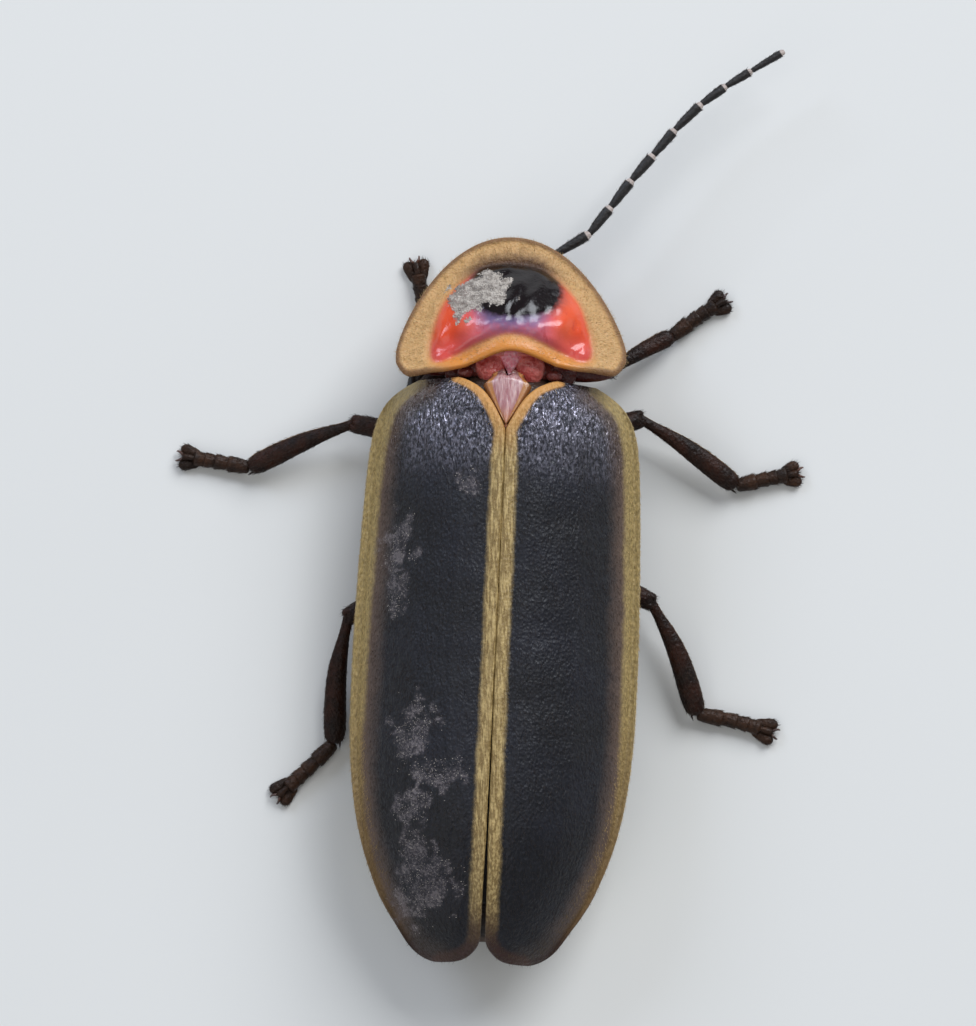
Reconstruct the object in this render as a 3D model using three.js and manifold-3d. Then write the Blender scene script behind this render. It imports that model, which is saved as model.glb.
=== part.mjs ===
// A life-size adult firefly, standing still on all six feet. Millimetres, +Z up,
// head towards -Y, the insect's right side towards -X.

import * as THREE from "three";
import { mergeVertices } from "three/addons/utils/BufferGeometryUtils.js";
import Module from "manifold-3d";

const wasm = await Module();
wasm.setup();

// Driving dimensions

const CASE_LENGTH = 10.05; // each wing case, from shoulder to tip
const CASE_WIDTH = 2.49; // one wing case, from the seam to its outer rim
const CASE_THICKNESS = 0.5;
const CASE_RIM_HEIGHT = 1.4; // outer rim above the ground
const CASE_CROWN = 1.45; // seam above the outer rim
const SEAM_GAP = 0.02; // from the middle to each case
const TIP_REACH = 0.77; // from the middle to the point of each case
const SEAM_OPENING = 0.05; // by which each case stands further from the middle near its tip
const HIND_BODY_TURN = THREE.MathUtils.degToRad(-2.6); // the body bends a little at the waist

const SHIELD_HALF_WIDTH = 2.0; // the shield over the head
const SHIELD_FRONT = -2.48;
const SHIELD_WIDEST = -0.5;
const SHIELD_HIND = -0.34; // hind edge, at the middle
const SHIELD_LENGTH = 2.4; // over which it rises
const SHIELD_RIM_HEIGHT = 1.62; // front rim above the ground
const SHIELD_RISE = 0.85;
const SHIELD_DOME = 0.38;
const SHIELD_THICKNESS = 0.45;
const SHIELD_EDGE_THICKNESS = 0.25;
const SHIELD_OFFSET = -0.05; // the front body sits a touch to the right of the hind body
const SCUTELLUM = { front: 0.0, back: 0.82, halfWidth: 0.31, height: 2.62, underside: 2.22 };
const WING = { start: 0.14, end: 0.93, share: 0.6, thickness: 0.42 }; // a folded wing, in shares of its case
const HIND_TRUNK_END = 3.25;
const LANTERN_START = 6.9;
const TAIL_START = 9.0;
const ABDOMEN_END = 9.55;

const EYE = { x: 0.52, y: -1.66, z: 1.0 };
const EYE_SIZE = new THREE.Vector3(0.44, 0.46, 0.43); // half-sizes

const LIMB_THICKNESS = 0.5;
const KNEE_HEIGHT = 0.6;
const ANKLE_HEIGHT = 0.3;
const FOOT_HEIGHT = 0.2; // middle of the foot above the ground
const CLAW_LENGTH = 0.32;
const CHEST_HEIGHT = 0.9; // underside of the chest
const BELLY_HEIGHT = 0.6; // underside of the abdomen
const GAP = 0.03; // between pieces that meet

// Joints of each leg as seen from above: hip, knee, ankle, middle and end of the foot.
const LEGS = {
  front_leg_right: [[-0.45, -0.85], [-1.81, -0.26], [-2.86, -0.9], [-3.36, -1.27], [-3.86, -1.58]],
  front_leg_left: [[0.4, -0.85], [1.62, 0.28], [1.4, -0.95], [1.5, -1.62], [1.63, -2.28]],
  middle_leg_right: [[-0.4, 1.3], [-2.3, 0.59], [-3.97, 1.72], [-4.6, 1.58], [-5.13, 1.48]],
  middle_leg_left: [[0.5, 1.3], [2.66, 0.67], [4.49, 1.4], [5.15, 1.28], [5.75, 1.19]],
  hind_leg_right: [[-0.42, 3.0], [-2.47, 3.77], [-3.28, 5.7], [-4.0, 5.84], [-4.68, 6.05]],
  hind_leg_left: [[0.7, 3.0], [2.76, 4.03], [3.01, 6.2], [3.53, 6.7], [4.05, 7.18]],
};

// The right feeler reaches forwards. The left one is laid back under the shield and the rim
// of the left wing case.
const FEELERS = {
  right: [[-0.15, -1.98, 1.06], [-0.62, -2.16, 1.05], [-1.02, -2.3, 1.05], [-2.15, -3.53, 1.05], [-3.36, -4.87, 1],
    [-4.78, -5.78, 0.95]],
  left: [[0.12, -1.98, 1.06], [0.5, -2.15, 1.04], [0.82, -1.96, 1.02], [1.1, -1.6, 1.02], [1.34, -1.1, 1.05],
    [1.62, -0.3, 1.1], [1.72, 0.8, 1.14], [1.84, 2.5, 1.14]],
};

// Colours, roughness and metalness

const LOOKS = {
  shield: [0xc9a262, 0.45],
  case: [0x2c2a30, 0.45],
  blood: [0xc4645a, 0.35],
  dark: [0x2b1d18, 0.5],
  eye: [0x08080a, 0.1],
  belly: [0x2a211d, 0.5],
  light: [0xe8dfae, 0.5],
  membrane: [0x3a3638, 0.4],
};

const { smoothstep, lerp } = THREE.MathUtils;
const UP = new THREE.Vector3(0, 0, 1);

// Closed bodies

/** Moves every corner of a geometry by a function and leaves one closed body facing out. */
function reshape(geometry, place) {
  const points = geometry.attributes.position;
  const corner = new THREE.Vector3();
  for (let i = 0; i < points.count; i++) {
    corner.fromBufferAttribute(points, i);
    const moved = place(corner);
    points.setXYZ(i, moved.x, moved.y, moved.z);
  }
  geometry.deleteAttribute("normal");
  geometry.deleteAttribute("uv");
  const closed = mergeVertices(geometry, 1e-4);
  return volumeOf(closed) < 0 ? turnedInsideOut(closed) : closed;
}

function volumeOf(geometry) {
  const points = geometry.attributes.position;
  const [a, b, c] = [new THREE.Vector3(), new THREE.Vector3(), new THREE.Vector3()];
  let volume = 0;
  for (let i = 0; i < geometry.index.count; i += 3) {
    a.fromBufferAttribute(points, geometry.index.getX(i));
    b.fromBufferAttribute(points, geometry.index.getX(i + 1));
    c.fromBufferAttribute(points, geometry.index.getX(i + 2));
    volume += a.dot(b.cross(c)) / 6;
  }
  return volume;
}

function turnedInsideOut(geometry) {
  const index = geometry.index;
  for (let i = 0; i < index.count; i += 3) {
    const second = index.getX(i + 1);
    index.setX(i + 1, index.getX(i + 2));
    index.setX(i + 2, second);
  }
  return geometry;
}

/** A geometry as a solid that can be joined and cut. */
function solid(geometry) {
  const vertProperties = new Float32Array(geometry.attributes.position.array);
  const triVerts = new Uint32Array(geometry.index.array);
  return new wasm.Manifold(new wasm.Mesh({ numProp: 3, vertProperties, triVerts }));
}

/** The largest piece of a solid, as a geometry again. */
function geometryOf(body) {
  const pieces = body.decompose().sort((a, b) => b.volume() - a.volume());
  const mesh = pieces[0].getMesh();
  const geometry = new THREE.BufferGeometry();
  geometry.setAttribute("position", new THREE.BufferAttribute(new Float32Array(mesh.vertProperties), 3));
  geometry.setIndex(new THREE.BufferAttribute(new Uint32Array(mesh.triVerts), 1));
  return geometry;
}

/** A copy that is larger by the gap all round. */
function swollen(geometry) {
  const copy = geometry.clone();
  copy.computeVertexNormals();
  const points = copy.attributes.position;
  const normals = copy.attributes.normal;
  for (let i = 0; i < points.count; i++) {
    const [x, y, z] = [points.getX(i), points.getY(i), points.getZ(i)];
    points.setXYZ(i, x + GAP * normals.getX(i), y + GAP * normals.getY(i), z + GAP * normals.getZ(i));
  }
  copy.deleteAttribute("normal");
  return copy;
}

/** A piece with room cut into it for its neighbours. */
function clearOf(geometry, ...neighbours) {
  let body = solid(geometry);
  for (const neighbour of neighbours) {
    body = body.subtract(solid(swollen(neighbour)));
  }
  return geometryOf(body);
}

function joined(...geometries) {
  return geometryOf(geometries.map(solid).reduce((a, b) => a.add(b)));
}

function placed(geometry, turn, x, y, z) {
  geometry.applyMatrix4(new THREE.Matrix4().makeRotationZ(turn).setPosition(x, y, z));
  return geometry;
}

/** A plate between an upper and a lower surface, each a function of two shares from 0 to 1. */
function plate(stepsAcross, stepsAlong, surface) {
  const slab = new THREE.BoxGeometry(1, 1, 1, stepsAcross, stepsAlong, 1);
  return reshape(slab, (corner) => surface(corner.x + 0.5, corner.y + 0.5, corner.z > 0));
}

/** A rounded body along Y, with its sizes as functions of the share along it, kept below a ceiling. */
function trunk({ from, to, halfWidth, bottom, top, ceiling = () => Infinity, sides = 16, steps = 6 }) {
  const drum = new THREE.CylinderGeometry(1, 1, 1, sides, steps);
  return reshape(drum, (corner) => {
    const share = cosineShare(corner.y + 0.5);
    const size = squared(corner.x, corner.z);
    const x = corner.x * size * halfWidth(share);
    const y = lerp(from, to, share);
    const middle = (top(share) + bottom(share)) / 2;
    const halfHeight = (top(share) - bottom(share)) / 2;
    const z = Math.min(middle + corner.z * size * halfHeight, ceiling(x, y));
    return new THREE.Vector3(x, y, z);
  });
}

/** What a point of a circle is multiplied by to lie on a slightly squared one. */
function squared(x, z, squareness = 2.3) {
  const reach = Math.hypot(x, z);
  return reach === 0 ? 0 : reach / (Math.abs(x) ** squareness + Math.abs(z) ** squareness) ** (1 / squareness);
}

/** A limb along a curve, with its half-width and half-height as functions of the share along it. */
function limb(curve, halfWidth, halfHeight, sides, steps) {
  const tube = new THREE.CylinderGeometry(1, 1, 1, sides, steps);
  return reshape(tube, (corner) => {
    const share = cosineShare(corner.y + 0.5);
    const ahead = curve.getTangentAt(share);
    const side = new THREE.Vector3().crossVectors(ahead, UP).normalize();
    const top = new THREE.Vector3().crossVectors(side, ahead);
    return curve
      .getPointAt(share)
      .addScaledVector(side, corner.x * halfWidth(share))
      .addScaledVector(top, corner.z * halfHeight(share));
  });
}

function cosineShare(share) {
  return 0.5 - 0.5 * Math.cos(Math.PI * share);
}

/** Full in the middle and rounded off at both ends, down to a small blunt end. */
function roundEnds(share, squareness = 6, blunt = 0.35) {
  const off = Math.abs(2 * share - 1) ** squareness;
  return blunt + (1 - blunt) * Math.sqrt(Math.max(0, 1 - off));
}

function ball(centre, size, sides = 14, rings = 10) {
  return reshape(new THREE.SphereGeometry(1, sides, rings), (corner) => corner.multiply(size).add(centre));
}

// Wing cases, and the folded wings under them

/** Distance from the middle to a case's outer rim. */
function caseOuter(share) {
  const shoulder = 0.075 * Math.max(0, 1 - share / 0.48) ** 1.6 + 0.312 * Math.exp(-share / 0.0345);
  const behind = Math.max(0, (share - 0.5) / 0.5) ** 2.9;
  return TIP_REACH + (CASE_WIDTH * (1 - shoulder) - TIP_REACH) * (1 - behind) ** 0.72;
}

/** Distance from the middle to a case's inner edge, which leaves room for the scutellum. */
function caseInner(share) {
  const besideScutellum = 0.5 * Math.max(0, 1 - share / 0.095) ** 1.1 + 0.34 * Math.exp(-share / 0.015);
  const gap = SEAM_GAP + SEAM_OPENING * Math.max(0, (share - 0.5) / 0.5);
  const intoTip = Math.max(0, (share - 0.935) / 0.065);
  const roundedTip = (TIP_REACH - 0.1) * (1 - Math.sqrt(1 - intoTip ** 2));
  return gap + besideScutellum + roundedTip;
}

/** Upper surface of the cases. Across runs from 0 at the seam to 1 at the rim. */
function caseTop(across, share) {
  const behind = Math.max(0, (share - 0.55) / 0.45);
  const rim = CASE_RIM_HEIGHT - 0.25 * smoothstep(share, 0.75, 1);
  const shoulderSlope = 0.25 * Math.exp(-share / 0.02) + 0.22 * Math.exp(-share / 0.06);
  const crown = CASE_CROWN * (1 - 0.6 * behind ** 3 - 0.14 * behind ** 12) - shoulderSlope;
  const arch = Math.max(0, 1 - (across / 0.94) ** 2.5);
  return rim + crown * arch;
}

/** How far a folded wing reaches towards the rim of its case, from 0 to 1. */
function wingReach(share) {
  const along = (share - WING.start) / (WING.end - WING.start);
  return WING.share * (1 - 0.55 * Math.max(0, (along - 0.5) / 0.5) ** 2.5);
}

/** Room left under the cases, and under the folded wings where there are any. */
function underCases(x, y) {
  const share = y / CASE_LENGTH;
  const across = Math.abs(x) / caseOuter(share);
  const underCase = caseTop(across, share) - CASE_THICKNESS - GAP;
  const besideWing = across > wingReach(share) + 0.14 || share < WING.start - 0.04 || share > WING.end + 0.01;
  return besideWing ? underCase : underCase - WING.thickness - 2 * GAP;
}

function wingCase(side) {
  return plate(6, 16, (across, along, upper) => {
    const share = cosineShare(along);
    const x = lerp(caseInner(share), caseOuter(share), across ** 0.8);
    const z = caseTop(x / caseOuter(share), share);
    return new THREE.Vector3(side * x, share * CASE_LENGTH, upper ? z : z - CASE_THICKNESS);
  });
}

function foldedWing(side) {
  return plate(3, 12, (across, along, upper) => {
    const share = lerp(WING.start, WING.end, along);
    const x = SEAM_GAP + lerp(0.03, wingReach(share), across) * caseOuter(share);
    const z = caseTop(x / caseOuter(share), share) - CASE_THICKNESS - GAP;
    return new THREE.Vector3(side * x, share * CASE_LENGTH, upper ? z : z - WING.thickness);
  });
}

// The shield, which is the pronotum, and the small plates behind it

function shieldFrontEdge(x) {
  const share = Math.min(1, Math.abs(x / SHIELD_HALF_WIDTH));
  return SHIELD_WIDEST - (SHIELD_WIDEST - SHIELD_FRONT) * (1 - share ** 2.08) ** 0.8;
}

function shieldHindEdge(x) {
  const lobes = 0.29 * (1 - Math.exp(-((x / 0.65) ** 2))) + 0.05 * Math.abs(x / 1.72) ** 4;
  const corner = 0.25 * Math.max(0, (Math.abs(x) - 1.78) / 0.22) ** 2;
  return SHIELD_HIND + lobes - corner;
}

function shieldTop(x, y) {
  const back = (y - SHIELD_FRONT) / SHIELD_LENGTH;
  const out = Math.abs(x) / SHIELD_HALF_WIDTH;
  const fromDisc = Math.hypot(x / 1.45, (y + 1.0) / 0.95);
  const dome = SHIELD_DOME * Math.max(0, 1 - fromDisc ** 2) ** 1.3;
  return SHIELD_RIM_HEIGHT + SHIELD_RISE * back - 0.35 * out ** 2 + dome;
}

function underShield(x, y) {
  return shieldTop(x, y) - SHIELD_THICKNESS - GAP;
}

function shield() {
  return plate(16, 8, (across, along, upper) => {
    const x = SHIELD_HALF_WIDTH * Math.sin((Math.PI / 2) * (2 * across - 1));
    const y = lerp(shieldFrontEdge(x), shieldHindEdge(x), along);
    const edge = Math.max(Math.abs(2 * across - 1), Math.abs(2 * along - 1)) ** 3;
    const thickness = lerp(SHIELD_THICKNESS, SHIELD_EDGE_THICKNESS, edge);
    const z = shieldTop(x, y);
    return new THREE.Vector3(x, y, upper ? z : z - thickness);
  });
}

/** The small triangle between the wing cases. */
function scutellum() {
  const shoulder = 0.2;
  return plate(4, 7, (across, along, upper) => {
    const narrowing = along < shoulder ? 0.75 + 1.25 * along : (1 - along) / (1 - shoulder);
    const x = SCUTELLUM.halfWidth * Math.max(0.05, narrowing) * (2 * across - 1);
    const y = lerp(SCUTELLUM.front, SCUTELLUM.back, along);
    const arch = 0.1 * (1 - (2 * across - 1) ** 2);
    const top = SCUTELLUM.height + 0.14 * along + arch;
    return new THREE.Vector3(x, y, upper ? top : SCUTELLUM.underside);
  });
}

function mesonotum() {
  return trunk({
    from: -0.42,
    to: -0.03,
    halfWidth: (share) => 0.72 * roundEnds(share, 3, 0.5),
    bottom: () => 1.65,
    top: (share) => 2.0 + 0.12 * roundEnds(share, 3, 0.3),
    steps: 3,
  });
}

// Trunk and abdomen

function frontTrunk() {
  return trunk({
    from: -1.13,
    to: 0.1,
    halfWidth: (share) => 1.12 * roundEnds(share, 5, 0.5),
    bottom: (share) => CHEST_HEIGHT + 0.15 * (2 * share - 1) ** 2,
    top: (share) => lerp(1.75, 1.95, share),
    ceiling: (x, y) => (y < -0.45 ? underShield(x, y) : 1.62),
  });
}

function hindTrunk() {
  return trunk({
    from: 0.13,
    to: HIND_TRUNK_END,
    halfWidth: (share) => 1.5 * roundEnds(share, 5, 0.5),
    bottom: (share) => CHEST_HEIGHT - 0.12 * Math.sin(Math.PI * share),
    top: (share) => lerp(2.3, 1.9, share),
    ceiling: (x, y) => Math.min(underCases(x, y), y < SCUTELLUM.back ? SCUTELLUM.underside - GAP : Infinity),
    steps: 8,
  });
}

/** Half-width of the abdomen, a little inside the wing cases. */
function abdomenHalfWidth(y) {
  const share = y / CASE_LENGTH;
  const waist = 1 - 0.12 * Math.exp(-(y - HIND_TRUNK_END) / 0.5);
  return 0.79 * waist * caseOuter(share);
}

function abdomenPart(from, to, frontBlunt, hindBlunt, steps) {
  const bulge = (share) => (share < 0.5 ? roundEnds(share, 8, frontBlunt) : roundEnds(share, 8, hindBlunt));
  const fall = (share) => 0.7 * Math.max(0, (lerp(from, to, share) - 6) / 3.6) ** 1.3;
  const belly = (share) => lerp(CHEST_HEIGHT, BELLY_HEIGHT, smoothstep(lerp(from, to, share), 3.6, 5.6));
  return trunk({
    from,
    to,
    halfWidth: (share) => abdomenHalfWidth(lerp(from, to, share)) * bulge(share),
    bottom: (share) => belly(share) + 0.08 * (1 - bulge(share)),
    top: (share) => 1.66 - fall(share) - 0.2 * (1 - bulge(share)),
    ceiling: underCases,
    sides: 18,
    steps,
  });
}

// Head

function eye(side) {
  return ball(new THREE.Vector3(side * EYE.x, EYE.y, EYE.z), EYE_SIZE);
}

function headCapsule() {
  const brow = ball(new THREE.Vector3(0, -1.62, 1.02), new THREE.Vector3(0.72, 0.46, 0.4), 12, 8);
  const neck = trunk({
    from: -1.7,
    to: -1.16,
    halfWidth: () => 0.5,
    bottom: () => 0.84,
    top: () => 1.38,
    sides: 12,
    steps: 1,
  });
  return joined(brow, neck);
}

function curveThrough(points) {
  return new THREE.CatmullRomCurve3(points.map((point) => new THREE.Vector3(...point)), false, "centripetal");
}

function mandible(side) {
  const path = curveThrough([[side * 0.17, -1.98, 0.72], [side * 0.2, -2.2, 0.7], [side * 0.05, -2.32, 0.69]]);
  return limb(path, (share) => 0.07 * (1.1 - share), (share) => 0.06 * (1.1 - share), 6, 4);
}

function palp(side) {
  const path = curveThrough([[side * 0.3, -1.9, 0.6], [side * 0.38, -2.15, 0.5], [side * 0.36, -2.38, 0.42]]);
  const club = (share) => 0.07 * roundEnds(share, 6, 0.4) * (0.8 + 0.6 * share);
  return limb(path, club, club, 6, 5);
}

/** Eleven joints, of which the first is long and the second short. */
function feeler(side) {
  const joints = 11;
  const waist = (share) => Math.abs(Math.cos(Math.PI * joints * share)) ** 4;
  const half = (share) => (LIMB_THICKNESS / 2) * roundEnds(share, 20, 0.5) * (1 - 0.08 * waist(share));
  return limb(curveThrough(FEELERS[side]), half, half, 6, 20);
}

// Legs

function atHeight([x, y], z) {
  return [x, y, z];
}

function alongBetween(start, end, distance) {
  const way = new THREE.Vector3().subVectors(new THREE.Vector3(...end), new THREE.Vector3(...start));
  return new THREE.Vector3(...start).addScaledVector(way.normalize(), distance).toArray();
}

function coxa(hip, knee) {
  const base = [...alongBetween(hip, knee, -0.28).slice(0, 2), 0.98];
  const end = alongBetween(hip, knee, 0.32);
  const half = (share) => 0.28 * roundEnds(share, 6, 0.5);
  return limb(curveThrough([base, end]), half, half, 8, 4);
}

function femur(hip, knee) {
  const half = (share) => 0.26 * roundEnds(share, 8, 0.55);
  return limb(curveThrough([alongBetween(hip, knee, 0.2), knee]), half, half, 8, 5);
}

/** The shin bows a little and thickens towards the foot. */
function tibia(knee, ankle, bow) {
  const middle = new THREE.Vector3(...knee).lerp(new THREE.Vector3(...ankle), 0.5);
  const way = new THREE.Vector3().subVectors(new THREE.Vector3(...ankle), new THREE.Vector3(...knee));
  middle.addScaledVector(new THREE.Vector3().crossVectors(way, UP).normalize(), bow);
  const half = (share) => (LIMB_THICKNESS / 2) * roundEnds(share, 10, 0.6) * (0.97 + 0.08 * share);
  return limb(curveThrough([knee, middle.toArray(), ankle]), half, half, 8, 6);
}

/** Five joints, of which the fourth is broad, and two claws. The sole is flat on the ground. */
function tarsus(ankle, middle, end) {
  const broad = (share) => 0.05 * Math.exp(-(((share - 0.72) / 0.1) ** 2));
  const half = (share) => (LIMB_THICKNESS / 2) * roundEnds(share, 10, 0.5) + broad(share);
  const height = (share) => (LIMB_THICKNESS / 2) * roundEnds(share, 10, 0.6);
  const start = [ankle[0], ankle[1], FOOT_HEIGHT];
  const foot = limb(curveThrough([start, middle, end]), half, height, 8, 6);
  const claws = [-1, 1].map((side) => claw(middle, end, side));
  return cutAtGround(joined(foot, ...claws));
}

function claw(middle, end, side) {
  const ahead = new THREE.Vector3(...end).sub(new THREE.Vector3(...middle)).normalize();
  const across = new THREE.Vector3().crossVectors(ahead, UP);
  const point = ahead.clone().addScaledVector(across, 0.4 * side).normalize();
  const root = new THREE.Vector3(...end).addScaledVector(across, 0.08 * side);
  const turn = new THREE.Quaternion().setFromUnitVectors(new THREE.Vector3(0, 1, 0), point);
  return reshape(new THREE.ConeGeometry(0.06, CLAW_LENGTH, 5), (corner) => corner.applyQuaternion(turn).add(root));
}

function cutAtGround(geometry) {
  const ground = new THREE.BoxGeometry(40, 40, 2);
  const below = reshape(ground, (corner) => corner.sub(new THREE.Vector3(0, 0, 1)));
  return geometryOf(solid(geometry).subtract(solid(below)));
}

// Assembly

const firefly = new THREE.Group();

function addPiece(name, geometry, look) {
  const [color, roughness] = LOOKS[look];
  const material = new THREE.MeshStandardMaterial({ color, roughness, metalness: 0 });
  const mesh = new THREE.Mesh(geometry, material);
  mesh.name = name;
  firefly.add(mesh);
}

const SIDES = { left: 1, right: -1 };

function hindPlaced(geometry) {
  return placed(geometry, HIND_BODY_TURN, 0, 0, 0);
}

function frontPlaced(geometry) {
  return placed(geometry, 0, SHIELD_OFFSET, 0, 0);
}

const shieldPlate = frontPlaced(shield());
const eyes = {};
const cases = {};
const wings = {};
for (const [name, side] of Object.entries(SIDES)) {
  eyes[name] = frontPlaced(eye(side));
  cases[name] = hindPlaced(wingCase(side));
  wings[name] = hindPlaced(foldedWing(side));
}

const coxae = {};
for (const [name, [hip, kneeAt, ankleAt, middleAt, endAt]] of Object.entries(LEGS)) {
  const knee = atHeight(kneeAt, KNEE_HEIGHT);
  const ankle = atHeight(ankleAt, ANKLE_HEIGHT);
  const bow = 0.08 * Math.sign(kneeAt[0]) * (name.startsWith("front") ? 0.5 : 1);
  const hipAt = atHeight(hip, 0.68);
  coxae[name] = coxa(hipAt, knee);
  const thigh = clearOf(femur(hipAt, knee), coxae[name]);
  const shin = clearOf(tibia(knee, ankle, bow), thigh);
  const foot = clearOf(tarsus(ankle, atHeight(middleAt, FOOT_HEIGHT), atHeight(endAt, FOOT_HEIGHT)), shin);
  addPiece(`${name}_coxa`, coxae[name], "dark");
  addPiece(`${name}_femur`, thigh, "dark");
  addPiece(`${name}_tibia`, shin, "dark");
  addPiece(`${name}_tarsus`, foot, "dark");
}

const head = clearOf(frontPlaced(headCapsule()), eyes.left, eyes.right, shieldPlate);
const hips = Object.values(coxae);
const triangle = hindPlaced(scutellum());
const saddle = hindPlaced(mesonotum());
const chest = clearOf(frontPlaced(frontTrunk()), coxae.front_leg_left, coxae.front_leg_right);
const feelers = {
  left: clearOf(feeler("left"), head, eyes.left, cases.left),
  right: clearOf(feeler("right"), head, eyes.right),
};
const ribs = clearOf(hindPlaced(hindTrunk()), feelers.left, ...hips);

addPiece("pronotum", shieldPlate, "shield");
addPiece("head", head, "dark");
addPiece("prothorax", chest, "blood");
addPiece("mesonotum", saddle, "blood");
addPiece("scutellum", triangle, "blood");
addPiece("thorax", ribs, "belly");

for (const [name, side] of Object.entries(SIDES)) {
  const jaw = clearOf(frontPlaced(mandible(side)), head, eyes[name]);
  addPiece(`eye_${name}`, eyes[name], "eye");
  addPiece(`mandible_${name}`, jaw, "dark");
  addPiece(`palp_${name}`, clearOf(frontPlaced(palp(side)), head, eyes[name], jaw), "dark");
  addPiece(`antenna_${name}`, feelers[name], "dark");
  addPiece(`wing_case_${name}`, cases[name], "case");
  addPiece(`hind_wing_${name}`, wings[name], "membrane");
}

addPiece("abdomen", hindPlaced(abdomenPart(HIND_TRUNK_END + GAP, LANTERN_START, 0.7, 1, 7)), "belly");
addPiece("lantern", hindPlaced(abdomenPart(LANTERN_START + GAP, TAIL_START, 1, 0.9, 4)), "light");
addPiece("abdomen_tip", hindPlaced(abdomenPart(TAIL_START + GAP, ABDOMEN_END, 1, 0.4, 3)), "belly");

const bounds = new THREE.Box3().setFromObject(firefly);
const middle = bounds.getCenter(new THREE.Vector3());
firefly.position.set(-middle.x, -middle.y, -bounds.min.z);

export default firefly;
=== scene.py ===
# %% [markdown]
# # A firefly, life size
# The real animal is a soft beetle about twelve millimetres long. It stands on six thin legs,
# with its head hidden under a broad shield and its wings folded under two leathery cases.
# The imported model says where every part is, so each piece here is made in the same place.

import math

import bpy
import numpy as np
from mathutils import Matrix, Vector


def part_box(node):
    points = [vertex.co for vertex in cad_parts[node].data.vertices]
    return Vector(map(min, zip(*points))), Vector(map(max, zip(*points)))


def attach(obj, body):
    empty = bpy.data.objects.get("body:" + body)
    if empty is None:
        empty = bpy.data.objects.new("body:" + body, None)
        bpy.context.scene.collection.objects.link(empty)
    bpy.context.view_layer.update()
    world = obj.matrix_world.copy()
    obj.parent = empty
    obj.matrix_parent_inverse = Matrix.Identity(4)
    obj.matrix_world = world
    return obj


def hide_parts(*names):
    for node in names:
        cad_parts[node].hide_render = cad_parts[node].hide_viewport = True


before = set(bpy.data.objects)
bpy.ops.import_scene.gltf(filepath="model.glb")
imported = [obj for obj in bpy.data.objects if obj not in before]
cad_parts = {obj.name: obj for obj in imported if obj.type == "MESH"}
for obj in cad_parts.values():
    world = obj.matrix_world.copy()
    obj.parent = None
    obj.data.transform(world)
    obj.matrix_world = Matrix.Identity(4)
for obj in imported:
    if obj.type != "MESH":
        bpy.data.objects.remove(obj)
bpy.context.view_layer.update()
print("nodes in the frame:", len(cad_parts))

# %% [markdown]
# An insect is easier to think of in millimetres, measured from the spot between the fronts of
# the wing cases, with its head towards -Y and its left side towards +X. One node of the frame
# is enough to tell how far that spot lies from the frame's own origin.

# %% Millimetres
MM = 0.001
UP = np.array([0.0, 0.0, 1.0])
SHIELD_FRONT = -2.48
SHIELD_OFFSET = -0.05
shield_low, shield_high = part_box("pronotum")
SHIFT = np.array(
    [(shield_low.x + shield_high.x) / 2 / MM - SHIELD_OFFSET, shield_low.y / MM - SHIELD_FRONT, 0.0]
)


def in_frame(points):
    return (np.asarray(points, float) + SHIFT) * MM


print("shift in millimetres:", SHIFT.round(3))

# %% [markdown]
# ## Camera
# The photograph looks straight down on the insect's back, leaning five degrees towards its
# tail. A long lens keeps near and far parts at almost one scale, as in the photograph. The
# scale of 58 pixels to a millimetre and one known pixel fix where the camera is.

# %% The camera
PICTURE = (976, 1026)
PIXELS_PER_MM = 58
PIVOT_PIXEL = (508, 380)
BACK_HEIGHT = 1.4
LEAN = math.radians(5)
DISTANCE = 110.0
SENSOR = 36.0
NEAREST_SEEN, FARTHEST_SEEN = 0.001, 10.0

look = Vector((0, -math.sin(LEAN), -math.cos(LEAN)))
picture_up = Vector((0, -math.cos(LEAN), math.sin(LEAN)))
picture_right = look.cross(picture_up)
target = Vector(
    in_frame(
        [
            (PIVOT_PIXEL[0] - PICTURE[0] / 2) / PIXELS_PER_MM,
            (PICTURE[1] / 2 - PIVOT_PIXEL[1]) / PIXELS_PER_MM / math.cos(LEAN),
            BACK_HEIGHT,
        ]
    )
)
camera_data = bpy.data.cameras.new("camera")
camera_data.sensor_width = SENSOR
camera_data.lens = SENSOR * DISTANCE / (PICTURE[1] / PIXELS_PER_MM)
camera_data.clip_start = NEAREST_SEEN
camera_data.clip_end = FARTHEST_SEEN
camera = bpy.data.objects.new("camera", camera_data)
camera.matrix_world = Matrix.Translation(target - look * DISTANCE * MM) @ (
    Matrix((picture_right, picture_up, -look)).transposed().to_4x4()
)
bpy.context.scene.collection.objects.link(camera)
bpy.context.scene.camera = camera
print("lens:", round(camera_data.lens, 1), "mm")

# %% [markdown]
# ## Closed skins
# Every piece of an insect is a hard skin round something soft. Meshes could be pulled into
# shape by hand, but a beetle's forms follow simple rules, so they are worked out as rows of
# corners. A shape keeps its corners, its faces, and marks such as the distance from an edge,
# which its finish reads later to place colours.

# %% Shapes


class Shape:
    """A closed skin in millimetres. A face has four corners, and a triangle repeats its last one."""

    def __init__(self, corners, faces, **marks):
        self.corners = np.asarray(corners, float)
        a, b, c, d = self.corners[faces].transpose(1, 0, 2)
        volume = np.sum(a * np.cross(b, c)) + np.sum(a * np.cross(c, d))
        self.faces = faces if volume > 0 else faces[:, ::-1]
        self.marks = {name: np.asarray(values, float) for name, values in marks.items()}


def unit(vectors):
    return vectors / np.maximum(np.linalg.norm(vectors, axis=-1, keepdims=True), 1e-12)


def quads(index):
    """The faces of a grid of corner numbers."""
    return np.stack([index[:-1, :-1], index[:-1, 1:], index[1:, 1:], index[1:, :-1]], -1).reshape(-1, 4)


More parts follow.
